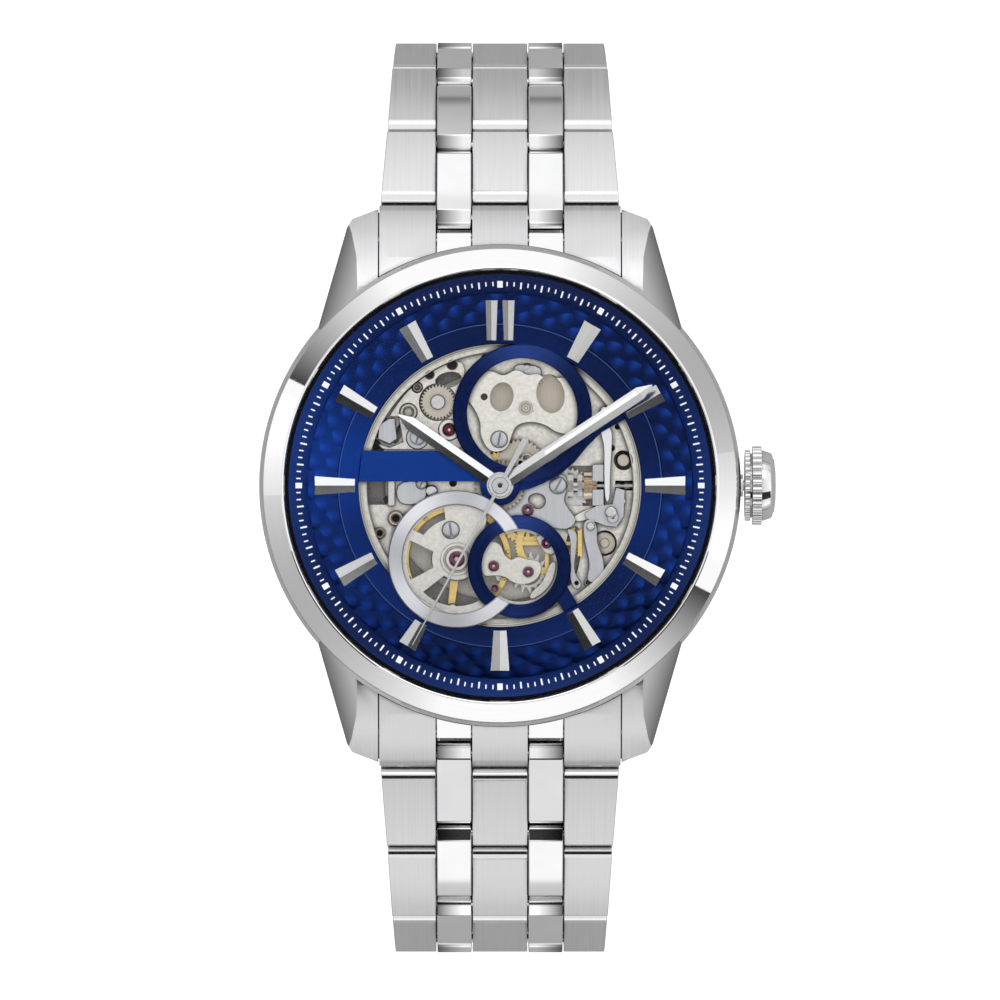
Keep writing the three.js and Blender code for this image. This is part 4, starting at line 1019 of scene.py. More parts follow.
def build_seconds():
    low = 9.85

    def make(bm):
        outline = [(-0.05, 15.5), (-0.15, 0.4), (-0.17, -0.4), (-0.27, -4.4), (-0.2, -4.6),
            (0.2, -4.6), (0.27, -4.4), (0.17, -0.4), (0.15, 0.4), (0.05, 15.5)]
        add_prism(bm, outline, low, low + 0.11)
        add_turned(bm, [(AXIS, low - 0.02), (0.72, low - 0.02), (0.72, low + 0.12),
                (0.66, low + 0.18), (0.3, low + 0.2), (0.24, low + 0.16), (AXIS, low + 0.16)], 72)
        add_turned(bm, rectangle(AXIS, 0.16, 3.9, low), 24)
        add_prism(bm, gear_outline((0, 0), 6, 0.48, 0.22), 4.3, 4.8)

    # painted shade: a small dark disc on the hub's middle stands for the pin's hole
    turned("seconds_pin_shade", [(AXIS, low + 0.16), (0.2, low + 0.16), (0.18, low + 0.19),
            (AXIS, low + 0.19)], painted_shade, body="seconds", segments=24)
    mesh = mesh_from("seconds_blade", make)
    mesh.transform(pointing(SECOND_TURN))
    steel = metal("seconds_steel", (0.62, 0.62, 0.63), 0.25, "mirror", 0.03, 0)
    piece("seconds_blade", mesh, steel, "seconds", ["seconds_hand"], 0.02, 30)


build_seconds()


# ---------------------------------------------------------------- movement: small fittings
def add_screw(bm, at, radius, z, turn, height=0.16):
    """A slotted head: a chamfered foot, and two half rounds with the slot between them."""
    middle = z + height * 0.35
    add_turned(bm, rectangle(AXIS, radius, z - 0.25, middle), 40, at)
    slot = radius * 0.13
    lean = math.degrees(math.asin(slot / (radius * 0.94)))
    for side in (0, 180):
        half = arc((0, 0), radius * 0.94, turn + side + lean, turn + side + 180 - lean, 18)
        start, end = turn + side + lean * 1.2, turn + side + 180 - lean * 1.2
        inner = arc((0, 0), radius * 0.80, start, end, 18)
        low = [bm.verts.new((at[0] + x, at[1] + y, middle)) for x, y in half]
        rim = [bm.verts.new((at[0] + x, at[1] + y, z + height * 0.8)) for x, y in half]
        top = [bm.verts.new((at[0] + x, at[1] + y, z + height)) for x, y in inner]
        bm.faces.new(low[::-1])
        bm.faces.new(top)
        skirt(bm, low, rim)
        skirt(bm, rim, top)


def add_washer(bm, at, inner, outer, low, top, edge=0.05):
    add_turned(bm, [(inner, low), (outer, low), (outer, top - edge), (outer - edge, top),
            (inner + edge, top), (inner, top - edge)], 56, at)


def add_stud(bm, at, radius, low, top):
    edge = radius * 0.3
    add_turned(bm, [(AXIS, low), (radius, low), (radius, top - edge * 0.6),
            (radius - edge * 0.4, top - edge * 0.15), (radius - edge, top), (AXIS, top)], 40, at)


TOP = 7.99  # highest surface of the bridges, just under the dial
MID = 7.78  # the lower bridges' surface
IDLER, LEFT_BOSS, SCREW_SEAT = (-5.29, 7.1), (-4.33, 4.75), (-7.02, 4.06)
CORRECTOR, PLATE_SCREW, RACK = (8.9, -4.9), (10.5, 2.15), (6.75, -4.9)

# screws: (place, radius, z, turn of the slot); jewels and studs: (place, radius, z)
SCREWS = [((-0.07, 3.93), 0.66, TOP, 80), ((4.93, 0.02), 0.68, TOP - 0.1, 62),
    ((-4.2, -3.78), 0.68, TOP, 100), (SCREW_SEAT, 0.6, MID, 75), ((-6.68, 0.18), 0.42, MID, 60),
    ((-4.05, -10.62), 0.5, MID, 35), ((-5.5, -10.0), 0.3, PLATE_TOP + 0.1, 10),
    ((2.3, 9.9), 0.42, PLATE_TOP + 0.1, 25)]
JEWELS = [((2.37, -2.09), 0.47, TOP - 0.1), ((-0.53, -5.38), 0.36, MID),
    ((-0.53, -6.86), 0.42, TOP - 0.1), ((2.41, -7.34), 0.42, TOP - 0.1), ((3.95, -4.93), 0.4, MID),
    ((-0.45, -8.75), 0.3, MID - 0.2)]
STUDS = [((-5.84, -0.46), 0.5, MID), ((7.72, -3.5), 0.34, TOP), ((-9.4, -7.2), 0.36, MID),
    ((6.0, 9.0), 0.4, MID), ((8.9, 6.3), 0.42, MID), ((-1.6, -10.9), 0.3, MID)]
LEVER_STUDS = [((10.35, -1.35), 0.36, MID), ((9.46, -2.3), 0.5, TOP)]
# bushes: (place, hole, radius, finish); holes: (place, radius)
RINGS = [((-7.8, 6.25), 0.42, 0.75, "brass"), ((-7.05, 8.36), 0.2, 0.42, "brass"),
    ((-8.87, -2.8), 0.34, 0.66, "brass"), ((4.22, -2.6), 0.27, 0.52, "light"),
    ((2.3, 2.2), 0.3, 0.62, "light"), ((7.5, -8.25), 0.16, 0.34, "light"),
    ((-10.25, -4.05), 0.26, 0.48, "brass"), ((2.2, 6.6), 0.34, 0.55, "light")]
HOLES = [((-4.08, 10.3), 0.42), ((-6.0, 9.45), 0.36), ((-10.46, 3.49), 0.28),
    ((-10.25, -4.05), 0.24), ((-8.87, -2.8), 0.3), ((4.22, -2.6), 0.24), ((-4.0, 0.22), 0.34),
    ((9.5, 3.2), 0.3), ((6.52, -8.3), 0.24), ((-9.6, -1.2), 0.3), ((-1.3, 10.9), 0.3),
    ((5.1, 10.0), 0.3), ((-7.9, -7.9), 0.26), ((10.0, 5.0), 0.25)]


def plate_cut(name, outline, holes, low, high, material, edge=0.06, nodes=()):
    """A plate with rounded edges, cut by hole outlines, which may cross the plate's own outline."""
    cutters = [prism_mesh(hole, low - 1, high + 1) for hole in holes]
    mesh = boolean(prism_mesh(outline, low, high), cutters)
    piece(name, mesh, material, nodes=nodes, bevel=edge, smooth=30)


def build_main_plate():
    wells = [
        within(circle(BALANCE, 4.72, 72)),
        circle(LOWER_LOOP[0], 3.0, 60),
        rectangle(5.75, 8.95, -1.75, 1.7),
        rectangle(9.8, 11.3, -0.42, 0.42),
        within(oval((6.1, -6.0), 0.75, 2.6, -8)),
        oval((0.15, 7.55), 1.15, 1.35, -12),
        oval((4.3, 7.75), 1.35, 1.75, 10),
        oval((-10.3, 2.7), 0.5, 1.3, 15),
        within([(-11.3, 0.46), (-9.62, 0.46), (-9.62, -1.64), (-11.3, -1.64)]),
        oval(PLATE_SCREW, 0.82, 0.86, 20),
        within(oval(CORRECTOR, 1.05, 1.1)),
        oval(IDLER, 1.6, 1.6),
        oval((0.0, 2.55), 0.9, 0.55, -25),
        oval((-8.6, 4.5), 0.32, 1.0, -20),
        circle((0, 0), 0.8, 30),
        oval((-4.4, 9.0), 1.1, 0.62, 12),
        within(oval((9.3, 6.6), 0.4, 1.1, -35)),
    ]
    wells += [circle(at, r, 24) for at, r in HOLES]
    profile = [(AXIS, PLATE_LOW), (13.0, PLATE_LOW), (13.0, 8.0), (11.4, 8.0), (11.4, PLATE_TOP),
        (AXIS, PLATE_TOP)]
    mesh = boolean(lathe_mesh(profile, 200), [prism_mesh(w, 5, 9) for w in wells])
    piece("main_plate_body", mesh, nickel, nodes=["main_plate"], bevel=0.05, smooth=30,
        slot="nickel")


build_main_plate()


def build_rim():
    """The stepped ring round the movement: narrow lands parted by grooves, rising outwards."""
    profile = [(11.33, 7.5), (11.33, 7.78)]
    for i in range(5):
        r, z = 11.36 + 0.145 * i, 7.82 + 0.07 * i
        profile += [(r, z), (r + 0.085, z + 0.02), (r + 0.1, z - 0.14), (r + 0.135, z - 0.14)]
    profile += [(12.1, 8.14), (12.7, 8.14), (12.7, 7.5)]
    # a shallow notch leaves the setting lever room to swing
    notch = disc_mesh(pivot("setting_lever_turn"), 2.66, 7.0, 7.96, 120)
    piece("rim_steps", boolean(lathe_mesh(profile, 260), [notch]), nickel_ring, smooth=20)


build_rim()
turned("movement_ring_body", rectangle(13.15, 15.5, 5, 8.15), grey_steel, ["movement_ring"], 120,
    bevel=0.08)


def build_bridges():
    low = PLATE_TOP + 0.01
    # the barrel cover: three lobes round the loop's opening
    cover = rounded([(-3.2, 9.3), (-3.3, 7.9), (-2.3, 6.8), (-1.6, 5.4), (-1.7, 4.3), (-0.9, 2.8),
            (0.6, 3.0), (1.0, 4.4), (1.4, 5.2), (2.6, 5.5), (3.9, 5.2), (4.8, 4.5), (6.4, 4.3),
            (6.9, 7.2), (5.9, 9.4), (3.9, 8.9), (3.3, 9.6), (2.3, 9.3), (1.4, 10.0), (0.3, 9.2),
            (-0.8, 9.9)])
    plate_cut("barrel_cover_plate", cover, [oval((0.15, 7.55), 1.0, 1.25, -12),
            oval((4.3, 7.75), 1.2, 1.6, 10), circle((-1.35, 7.55), 0.3, 24)], low, TOP,
        nickel_light, nodes=["barrel_cover"])
    # the balance bridge: an arm from the upper left, and a ring about the balance's jewel
    left = rounded([(-9.2, -6.0), (-9.0, -3.6), (-7.4, -1.8), (-5.2, -0.9), (-2.6, -1.2),
            (-0.9, -2.4), (-1.6, -4.4), (-2.0, -6.2), (-0.9, -7.9), (-0.4, -9.6), (-2.2, -11.2),
            (-5.2, -11.0), (-7.6, -9.7)])
    gaps = [
        turn_points([*arc((0, 0), 4.3, 158, 204), *arc((0, 0), 2.1, 200, 162)], 0, BALANCE),
        turn_points([*arc((0, 0), 4.5, 104, 146), *arc((0, 0), 3.5, 144, 106)], 0, BALANCE),
        turn_points([*arc((0, 0), 4.0, 224, 306), *arc((0, 0), 1.75, 300, 232)], 0, BALANCE),
        circle(LOWER_LOOP[0], 3.4, 80), circle((0, 0), 2.35, 60),
    ]
    plate_cut("balance_bridge_plate", left, gaps, low, TOP, nickel_light, nodes=["balance_bridge"])
    # steel train cover to the right of the hands, with a rounded recess
    steel = rounded([(1.0, -0.6), (2.0, 0.6), (3.2, 0.5), (4.3, 1.05), (5.6, 0.95), (5.75, -0.2),
            (5.35, -1.2), (5.8, -2.0), (6.6, -3.0), (5.8, -3.75), (4.6, -3.6), (3.3, -3.3),
            (1.6, -3.2), (0.3, -2.6)])
    plate_cut("train_cover_plate", steel, [rounded([(2.5, -1.75), (2.3, -0.95), (3.1, -0.55),
                    (3.9, -0.9), (3.9, -1.7), (3.3, -2.1)])], low, TOP - 0.1, grey_steel)
    # left: a stepped ledge with bosses, and a steel block
    ledge = rounded([(-10.9, 3.1), (-8.9, 6.9), (-6.6, 9.3), (-3.4, 10.9), (-2.9, 9.6), (-3.5, 8.3),
            (-3.6, 6.6), (-3.1, 5.2), (-2.6, 3.2), (-5.4, 3.1), (-8.2, 3.1)])
    plate_cut("left_ledge", ledge, [circle(IDLER, 1.62, 50), circle((-7.05, 8.36), 0.5, 24),
            circle((-7.8, 6.25), 0.8, 30), circle(LEFT_BOSS, 0.95, 40),
            circle((-4.08, 10.3), 0.5, 24), circle((-6.0, 9.45), 0.45, 24),
            oval((-4.4, 9.0), 1.15, 0.68, 12), circle(SCREW_SEAT, 1.0, 40),
            [(-10.7, 5.2), (-9.4, 5.9), (-8.6, 5.9), (-8.2, 3.7), (-9.4, 3.2), (-10.9, 3.7)]], low,
        MID, nickel)
    plate_cut("steel_block", [(-10.35, 5.15), (-9.5, 5.7), (-8.95, 5.7), (-8.75, 3.95), (-9.4, 3.5),
            (-10.4, 3.95)], [], low, TOP - 0.05, grey_steel, 0.1)
    plate_cut("left_insert", rounded([(-8.8, 0.4), (-6.3, 0.4), (-6.2, -1.2), (-7.4, -1.7),
                (-8.8, -1.5)], 3), [], low, MID, grey_steel)
    plate_cut("left_rails", rectangle(-9.55, -8.95, -1.75, 0.5), [], low - 0.4, MID + 0.05,
        stud_steel, 0.1)
    # lower loop: the pallet and escape cover with its rounded lobes
    lobes = rounded([(-1.6, -5.2), (-0.9, -4.6), (0.1, -5.0), (0.35, -5.9), (0.95, -6.4),
            (1.5, -6.0), (2.3, -6.3), (3.4, -6.4), (3.6, -7.3), (3.0, -8.2), (1.9, -8.5),
            (1.1, -8.3), (0.4, -7.75), (-0.5, -7.65), (-1.5, -7.8), (-1.7, -6.6)])
    plate_cut("escape_cover_plate", lobes, [], low - 0.5, TOP - 0.1, nickel_light)
    plate_cut("lower_ledge", rounded([(2.6, -9.9), (4.4, -8.6), (4.9, -6.4), (4.2, -6.6),
                (3.7, -8.2), (2.5, -9.2)]), [], low - 0.8, MID, nickel)
    plate_cut("upper_tie", rounded([(2.9, -4.2), (4.6, -4.1), (4.9, -5.8), (3.9, -5.9),
                (3.4, -5.1)]), [], low - 0.6, MID, nickel)


build_bridges()


def build_keyless():
    """Steel parts of the winding and setting work, on the right."""
    low = PLATE_TOP + 0.02
    for name, y0, y1 in (("stem_block_upper", 0.32, 1.8), ("stem_block_lower", -1.75, -0.32)):
        plate_cut(name, rectangle(7.85, 8.85, y0, y1), [], low - 0.6, TOP - 0.1, grey_steel, 0.08)
    lever = rounded([(8.7, 5.3), (9.5, 4.9), (9.55, 3.7), (9.35, 1.0), (9.35, -1.3), (8.95, -1.5),
            (8.85, 1.2), (8.9, 3.4), (8.5, 4.6)], 4)
    plate_cut("setting_jumper", lever, [], MID, TOP, polished, 0.06)
    hook = rounded([(7.1, -3.0), (7.9, -2.8), (8.3, -3.6), (8.2, -4.8), (8.8, -6.2), (8.9, -7.6),
            (8.0, -8.4), (7.3, -8.0), (7.7, -6.9), (7.3, -5.2), (7.1, -4.2)], 4)
    plate_cut("clutch_lever", hook, [], low, TOP - 0.05, grey_steel, 0.06)
    spring = rounded([(5.6, -3.6), (6.6, -3.9), (6.45, -5.4), (6.25, -7.0), (6.55, -7.9),
            (7.0, -8.4), (6.6, -8.9), (6.1, -8.5), (5.95, -7.2), (6.05, -5.4), (6.0, -4.4)], 4)
    plate_cut("clutch_spring", spring, [circle((6.52, -8.3), 0.2, 20)], low, MID, grey_steel, 0.05)
    arm = rounded([(5.9, -2.7), (8.7, -1.5), (9.2, -1.9), (8.4, -2.6), (6.6, -3.2)], 4)
    plate_cut("yoke_arm", arm, [], low, MID, nickel_light, 0.06)
    plate_cut("clutch_rack", gear_outline(RACK, 18, 1.25, 0.16),
        [rectangle(5, 6.62, -7, -3), rectangle(7.0, 9, -7, -3)], low - 0.5, low + 0.05, gilt, 0.01)
    turned("corrector_wheel", [(AXIS, 6.9), (0.95, 6.9), (0.95, 7.35), (0.9, 7.4), (0.4, 7.4),
            (0.36, 7.5), (AXIS, 7.5)], beige, at=CORRECTOR, segments=60)
    turned("plate_screw_head", [(AXIS, 6.6), (0.62, 6.6), (0.62, 7.0), (0.5, 7.1), (AXIS, 7.1)],
        beige, at=PLATE_SCREW, segments=48)


build_keyless()


def add_jewel(bm, at, radius, z):
    add_turned(bm, [(0.1, z - 0.2), (radius, z - 0.2), (radius, z + 0.04), (radius * 0.8, z + 0.1),
            (radius * 0.4, z + 0.06), (0.1, z - 0.04)], 48, at)


# painted shade: a thin dark ring round the foot of each screw head
def add_screw_shade_ring(bm, at, radius, z, _):
    add_washer(bm, at, radius + 0.03, radius + 0.1, z - 0.2, z + 0.005, 0.01)


def settings(bm):
    for at, radius, z in JEWELS:
        add_washer(bm, at, radius + 0.01, radius + 0.09, z - 0.1, z + 0.03, 0.03)
    add_washer(bm, BALANCE, 0.64, 0.98, MID, TOP + 0.12, 0.06)
    add_washer(bm, BALANCE, 1.1, 1.42, MID, TOP + 0.05, 0.06)


def build_fittings():
    built("movement_screws", each(SCREWS, add_screw), grey_steel, smooth=28)
    built("screw_shade_rings", each(SCREWS, add_screw_shade_ring), painted_shade)
    built("train_jewels", each(JEWELS, add_jewel), ruby, smooth=50)
    built("jewel_settings", settings, nickel_light, smooth=40)
    turned("balance_jewel", [(0.2, TOP - 0.3), (0.62, TOP - 0.3), (0.62, TOP + 0.08),
            (0.5, TOP + 0.14), (0.28, TOP + 0.1), (0.2, TOP)], ruby, at=BALANCE, segments=60,
        smooth=50)
    for name, body, table in (("movement_studs", "case", STUDS),
            ("lever_studs", "setting_lever", LEVER_STUDS)):
        rows = [(at, radius, z - 0.2, z + 0.1) for at, radius, z in table]
        built(name, each(rows, add_stud), stud_steel, body, smooth=40)
    turned("barrel_arbor_rings", [(AXIS, TOP - 0.2), (0.56, TOP - 0.2), (0.56, TOP + 0.05),
            (0.44, TOP + 0.05), (0.42, TOP - 0.05), (0.34, TOP - 0.05), (0.32, TOP + 0.06),
            (0.18, TOP + 0.06), (0.16, TOP - 0.03), (AXIS, TOP - 0.03)], beige, at=(2.2, 6.6),
        segments=48)
    for kind, material in (("brass", beige), ("light", nickel_light)):
        rows = [(at, inner, outer, 7.3, MID + 0.08, 0.1) for at, inner, outer, finish in RINGS
            if finish == kind]
        built(kind + "_bushes", each(rows, add_washer), material, smooth=40)
    # painted shade: dark discs at the foot of the plate's holes
    rows = [(rectangle(AXIS, radius + 0.03, 6.5, 6.8), 24, at) for at, radius in HOLES]
    built("hole_shade_discs", each(rows, add_turned), painted_shade)
    # the dark jewel in its boss, and the idler wheel on the left
    turned("left_boss", [(0.5, 7.2), (0.92, 7.2), (0.92, 7.76), (0.84, 7.84), (0.6, 7.84),
            (0.5, 7.7)], nickel_light, at=LEFT_BOSS, segments=60)
    turned("left_jewel", [(0.12, 7.2), (0.5, 7.2), (0.5, 7.62), (0.35, 7.68), (0.12, 7.6)],
        metal("dark_ruby", (0.13, 0.03, 0.05), 0.15, "fine", 0.2, 0), at=LEFT_BOSS, segments=48,
        smooth=50)
    plate_cut("idler_wheel", gear_outline(IDLER, 30, 1.5, 0.2), [circle(IDLER, 0.5, 40)], 7.35, 7.7,
        beige, 0.02)
    turned("idler_hub", [(AXIS, 7.2), (0.62, 7.2), (0.62, 7.78), (0.56, 7.84), (AXIS, 7.84)],
        stud_steel, at=IDLER, segments=48)
    turned("screw_seat", [(0.62, 7.3), (0.98, 7.3), (0.98, 7.74), (0.9, 7.8), (0.62, 7.8)],
        grey_steel, at=SCREW_SEAT, segments=60)
    bracket = rounded([(0.9, 8.6), (1.3, 9.5), (1.1, 10.4), (3.6, 10.2), (3.4, 9.2), (3.7, 8.5),
            (2.4, 8.9)], 3)
    plate_cut("calendar_bracket", bracket, [], PLATE_TOP, MID + 0.06, grey_steel, 0.08)


build_fittings()


# ---------------------------------------------------------------- movement: wheels
def balance(bm):
    rim = [(4.12, 5.02), (4.6, 5.0), (4.62, 5.25), (4.6, 5.5), (4.12, 5.48), (4.08, 5.25)]
    add_turned(bm, rim, 160, BALANCE)
    for turn in (83, 263):
        arm = turn_points([(0, -0.4), (4.2, -0.28), (4.2, 0.28), (0, 0.4)], turn, BALANCE)
        add_prism(bm, arm, 5.12, 5.34)
    hub = [(AXIS, 4.95), (0.62, 4.95), (0.62, 5.45), (0.5, 5.55), (AXIS, 5.55)]
    staff = [(AXIS, 3.1), (0.14, 3.1), (0.16, 7.9), (AXIS, 7.95)]
    for profile, segments in ((hub, 48), (staff, 24), (rectangle(AXIS, 0.5, 4.2, 4.32), 32)):
        add_turned(bm, profile, segments, BALANCE)
    for at in arc(BALANCE, 4.36, 8, 338, 11):
        add_stud(bm, at, 0.16, 5.3, 5.62)


built("balance_rim", balance, gilt, "balance", ["balance_wheel"], bevel=0.02, smooth=35,
    slot="gilt")


def hairspring(bm):
    """A flat strip wound in a spiral about the balance's axis."""
    turns = 7
    steps = 40 * turns

    def edge(off, z):
        """One of the strip's four long edges."""
        row = []
        for i in range(steps + 1):
            r = 0.42 + 1.5 * i / steps + off
            a = 2 * math.pi * turns * i / steps
            place = (BALANCE[0] + r * math.cos(a), BALANCE[1] + r * math.sin(a), z)
            row.append(bm.verts.new(place))
        return row

    a, b, c, d = (edge(off, z) for off in (0.025, -0.025) for z in (5.75, 5.9))
    for i in range(steps):
        for p, q in ((a, b), (b, d), (d, c), (c, a)):
            bm.faces.new((p[i], p[i + 1], q[i + 1], q[i]))
    bm.faces.new((a[0], b[0], d[0], c[0]))
    bm.faces.new((a[-1], c[-1], d[-1], b[-1]))
    add_washer(bm, BALANCE, 0.2, 0.46, 5.74, 5.92, 0.03)


built("hairspring_coil", hairspring, spring_blue, "balance", ["hairspring"], smooth=40)
turned("bridge_skirt", rectangle(9.9, 13.05, 3.84, 3.95), grey_dark, segments=120)


def build_rotor():
    web = arc((0, 0), 12.2, 180, 360, 120)
    holes = [turn_points(oval((6.6, 0), 1.5, 2.6), turn) for turn in (-125, -55)]
    boss = lathe_mesh(rectangle(1.1, 2.0, 1.8, 2.5), 80)
    rim = boolean(prism_mesh(web, 1.8, 3.6), [disc_mesh((0, 0), 10.6, 1, 5, 160)])
    groove = lathe_mesh(rectangle(11.2, 11.3, 1.7, 1.88), 160)
    mesh = boolean(boolean(prism_mesh(web, 1.8, 2.2), [boss], "UNION"), [rim], "UNION")
    cuts = [prism_mesh(h, 1, 3) for h in holes] + [groove, disc_mesh((0, 0), 1.08, 1, 3, 60)]
    piece("rotor_weight", boolean(mesh, cuts), rotor_steel, "rotor", ["rotor"], 0.06, 30,
        slot="steel_polished")


build_rotor()


# ---------------------------------------------------------------- bracelet
LINK_LOW, BRUSHED_TOP, POLISHED_TOP = -1.15, 1.15, 1.4
BAR_IN, BAR_OUT, SEAM = 2.45, 5.4, 0.09
RECESS = -1.35  # where the polished bars stop, from the link's far hinge
WIDTHS = [2 * highs("link_12_1")[0], 19.28, 18.48, 18, 18, 18, 18, 18]
hinge_points = {side: [pivot(f"hinge_{side}_{i}")[1:] for i in range(1, 8)] for side in ("12", "6")}
PITCH = math.dist(hinge_points["12"][0], hinge_points["12"][1])
LAST_SLOPE = 171.0  # of the links next to the clasp, in degrees
NOSE_END = 2.12  # the rounded near end of a brushed block stops here, from its hinge
LINK_EDGES = {"bevel": 0.1, "smooth": 30, "segments": 3}


def link_frame(side, i):
    """A link's own axes: X across, Y along the bracelet away from the case, Z up from the wrist."""
    sign = 1 if side == "12" else -1
    y, z = hinge_points[side][i]
    if i < 6:
        far_y, far_z = hinge_points[side][i + 1]
        slope = math.atan2(z - far_z, sign * (far_y - y))
    else:
        slope = math.radians(LAST_SLOPE)
    c, s = math.cos(slope), math.sin(slope)
    return Matrix(((sign, 0, 0, 0), (0, sign * c, sign * s, y * MM), (0, -s, c, z * MM),
            (0, 0, 0, 1)))


def crown_points(start, end, height, rise, steps=6):
    """Points along a top that swells by a small rise between two ends."""
    points = []
    for k in range(steps + 1):
        t = k / steps
        points.append((end + (start - end) * t, height - rise * (2 * t - 1) ** 2))
    return points


def block_side(end):
    """Side outline of a brushed block: rounded near end, swelling top, and a lip at the far end."""
    nose = [(1.15 + 0.95 * (1 - math.cos(math.radians(t))), 0.12 + 0.9 * math.sin(math.radians(t)))
            for t in range(0, 91, 9)]
    return [(1.65, LINK_LOW), (end + 0.15, LINK_LOW), (end + 0.75, -0.6), (end + 0.99, 0.1),
        (end + 0.96, 0.62), *crown_points(2.1, end + 0.7, BRUSHED_TOP, 0.13), *nose[::-1],
        (1.15, -0.3)]


def bar_side(end):
    far = end + RECESS
    return [(-0.95, 0.72), (-1.08, 0.4), (-1.1, -0.3), (-0.45, LINK_LOW), (far, LINK_LOW),
        (far, 1.05), (far - 0.16, 1.16), *crown_points(-0.05, far - 0.3, POLISHED_TOP, 0.12)]


def finish_link(made, frame_matrix, body):
    """Stands a link's piece in its own axes and lets it ride again from there."""
    made.parent = None
    made.matrix_world = frame_matrix
    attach(made, body)


def build_link(side, i):
    name = f"link_{side}_{i + 1}"
    near, far = WIDTHS[i] / 2, WIDTHS[i + 1] / 2
    own = link_frame(side, i)
    inner, outer = BAR_IN - SEAM, BAR_OUT + SEAM
    plan = [(-near, -3), (near, -3), (near, 1), (far, PITCH + 1.2), (-far, PITCH + 1.2), (-near, 1)]
    limits = prism_mesh(plan, -3, 3)
    parts = [drawn_mesh(block_side(PITCH), -inner, inner)]
    for sign in (-1, 1):
        a, b = sorted((sign * outer, sign * (near + 1)))
        parts.append(boolean(drawn_mesh(block_side(PITCH), a, b), [limits], "INTERSECT"))
    blocks = merged(name + "_blocks", parts)
    made = piece(name + "_blocks", blocks, [brushed, bezel_steel], name, [name],
        slot="steel_brushed", **LINK_EDGES)
    for face in blocks.polygons:
        face.material_index = int(face.normal.y < -0.12 and face.center.y < NOSE_END * MM)
    finish_link(made, own, name)

    def bars(bm):
        for sign in (-1, 1):
            a, b = sorted((sign * BAR_IN, sign * BAR_OUT))
            add_drawn(bm, bar_side(PITCH), a, b)
        # the pin that joins the link to the one before it
        reach = near - 0.6
        add_turned(bm, rectangle(AXIS, 0.38, -reach, reach), 20, matrix=ACROSS)

    made = built(name + "_bars", bars, [polished, bar_end_steel], name, slot="steel_polished",
        **LINK_EDGES)
    # the sloping ends that face the case get the painted dark-to-light reflection
    for face in made.data.polygons:
        face.material_index = int(face.normal.y < -0.3 and face.normal.z > 0.3)
    finish_link(made, own, name)

    # painted shade: dark strips in the four seams, where light would otherwise show through the
    # link
    def seam_shade_strips(bm):
        for sign in (-1, 1):
            for edge, turned_to in ((BAR_IN, -1), (BAR_OUT, 1)):
                under, past = edge - 0.05 * turned_to, edge + (SEAM - 0.015) * turned_to
                a, b = sorted((sign * under, sign * past))
                add_prism(bm, rectangle(a, b, -1.05, PITCH + RECESS + 0.05), -1.0, -0.6)

    finish_link(built(name + "_seam_shade", seam_shade_strips, painted_shade, name), own, name)


for side in ("12", "6"):
    for i in range(7):
        build_link(side, i)


def build_end_link(side):
    sign = 1 if side == "12" else -1
    y, z, wide = 22.9, 3.5, 10.3
    top = [(y + 0.75, z + 1.0), (y + 0.5, z + 1.25), (21.5, 6.0), (19.5, 7.25), (17, 8.2),
        (15, 8.5)]
    outline = [(15, 1.9), (17, 1.55), (20, 1.2), (y - 0.5, z + LINK_LOW), (y + 0.6, z - 0.7),
        (y + 1.0, z - 0.1), (y + 1.0, z + 0.7), *top]
    round_case = disc_mesh((0, 0), 20.56, -3, 12, 220)
    bar_limit = prism_mesh(rectangle(-12, 12, y + RECESS, y + 4), -5, 14)
    turn = Matrix.Identity(4) if sign > 0 else Matrix.Rotation(math.pi, 4, "Z")

    def gather(spans, limits):
        mesh = merged("end", [boolean(drawn_mesh(outline, a, b), limits) for a, b in spans])
        mesh.transform(turn)
        return mesh

    inner, outer = BAR_IN - SEAM, BAR_OUT + SEAM
    blocks = gather([(-wide, -outer), (-inner, inner), (outer, wide)], [round_case])
    piece(f"end_link_{side}_blocks", blocks, brushed, nodes=[f"end_link_{side}"],
        slot="steel_brushed", **LINK_EDGES)
    bars = gather([(-BAR_OUT, -BAR_IN), (BAR_IN, BAR_OUT)], [round_case, bar_limit])
    piece(f"end_link_{side}_bars", bars, bezel_steel, bevel=0.08, smooth=30, segments=3,
        slot="steel_polished")


build_end_link("12")
build_end_link("6")


# ---------------------------------------------------------------- CAD nodes that stay in view
pinion_steel = metal("pinion_steel", (0.62, 0.60, 0.58), 0.22, "fine", 0.1, 0.002)
pinion_bronze = metal("pinion_bronze", (0.66, 0.56, 0.45), 0.26, "fine", 0.1, 0.002)
stem_steel = metal("stem_steel", (0.5, 0.48, 0.46), 0.25, "mirror", 0.05, 0)
RESTYLED = [
    (grey_steel, 0.04, "setting_lever"),
    (pinion_steel, 0.03, "sliding_pinion"),
    (pinion_bronze, 0.03, "winding_pinion"),
    (stem_steel, 0.03, "winding_stem"),
    (rotor_steel, 0.03, "crown_wheel", "ratchet_wheel"),
    (case_side, 0.04, "crown_tube"),
    (case_side, 0.03, "spring_bar_12", "spring_bar_6"),
    (gilt, 0.02, "third_wheel", "fourth_wheel", "centre_wheel"),
    (stud_steel, 0.01, "escape_wheel"),
    (stud_steel, 0.02, "pallet_fork"),
    (beige, 0.04, "barrel"),
    (spring_blue, 0, "mainspring"),
    (beige, 0.02, "minute_wheel", "hour_wheel"),
    (grey_steel, 0.02, "cannon_pinion"),
    (nickel, 0.08, "train_bridge"),
    (brushed, 0.18, "clasp_cover"),
    (polished, 0.08, "clasp_long_blade", "clasp_short_blade"),
    (polished, 0.15, "clasp_button_left", "clasp_button_right"),
]
for material, bevel, *nodes in RESTYLED:
    for node in nodes:
        restyle(node, material, bevel)


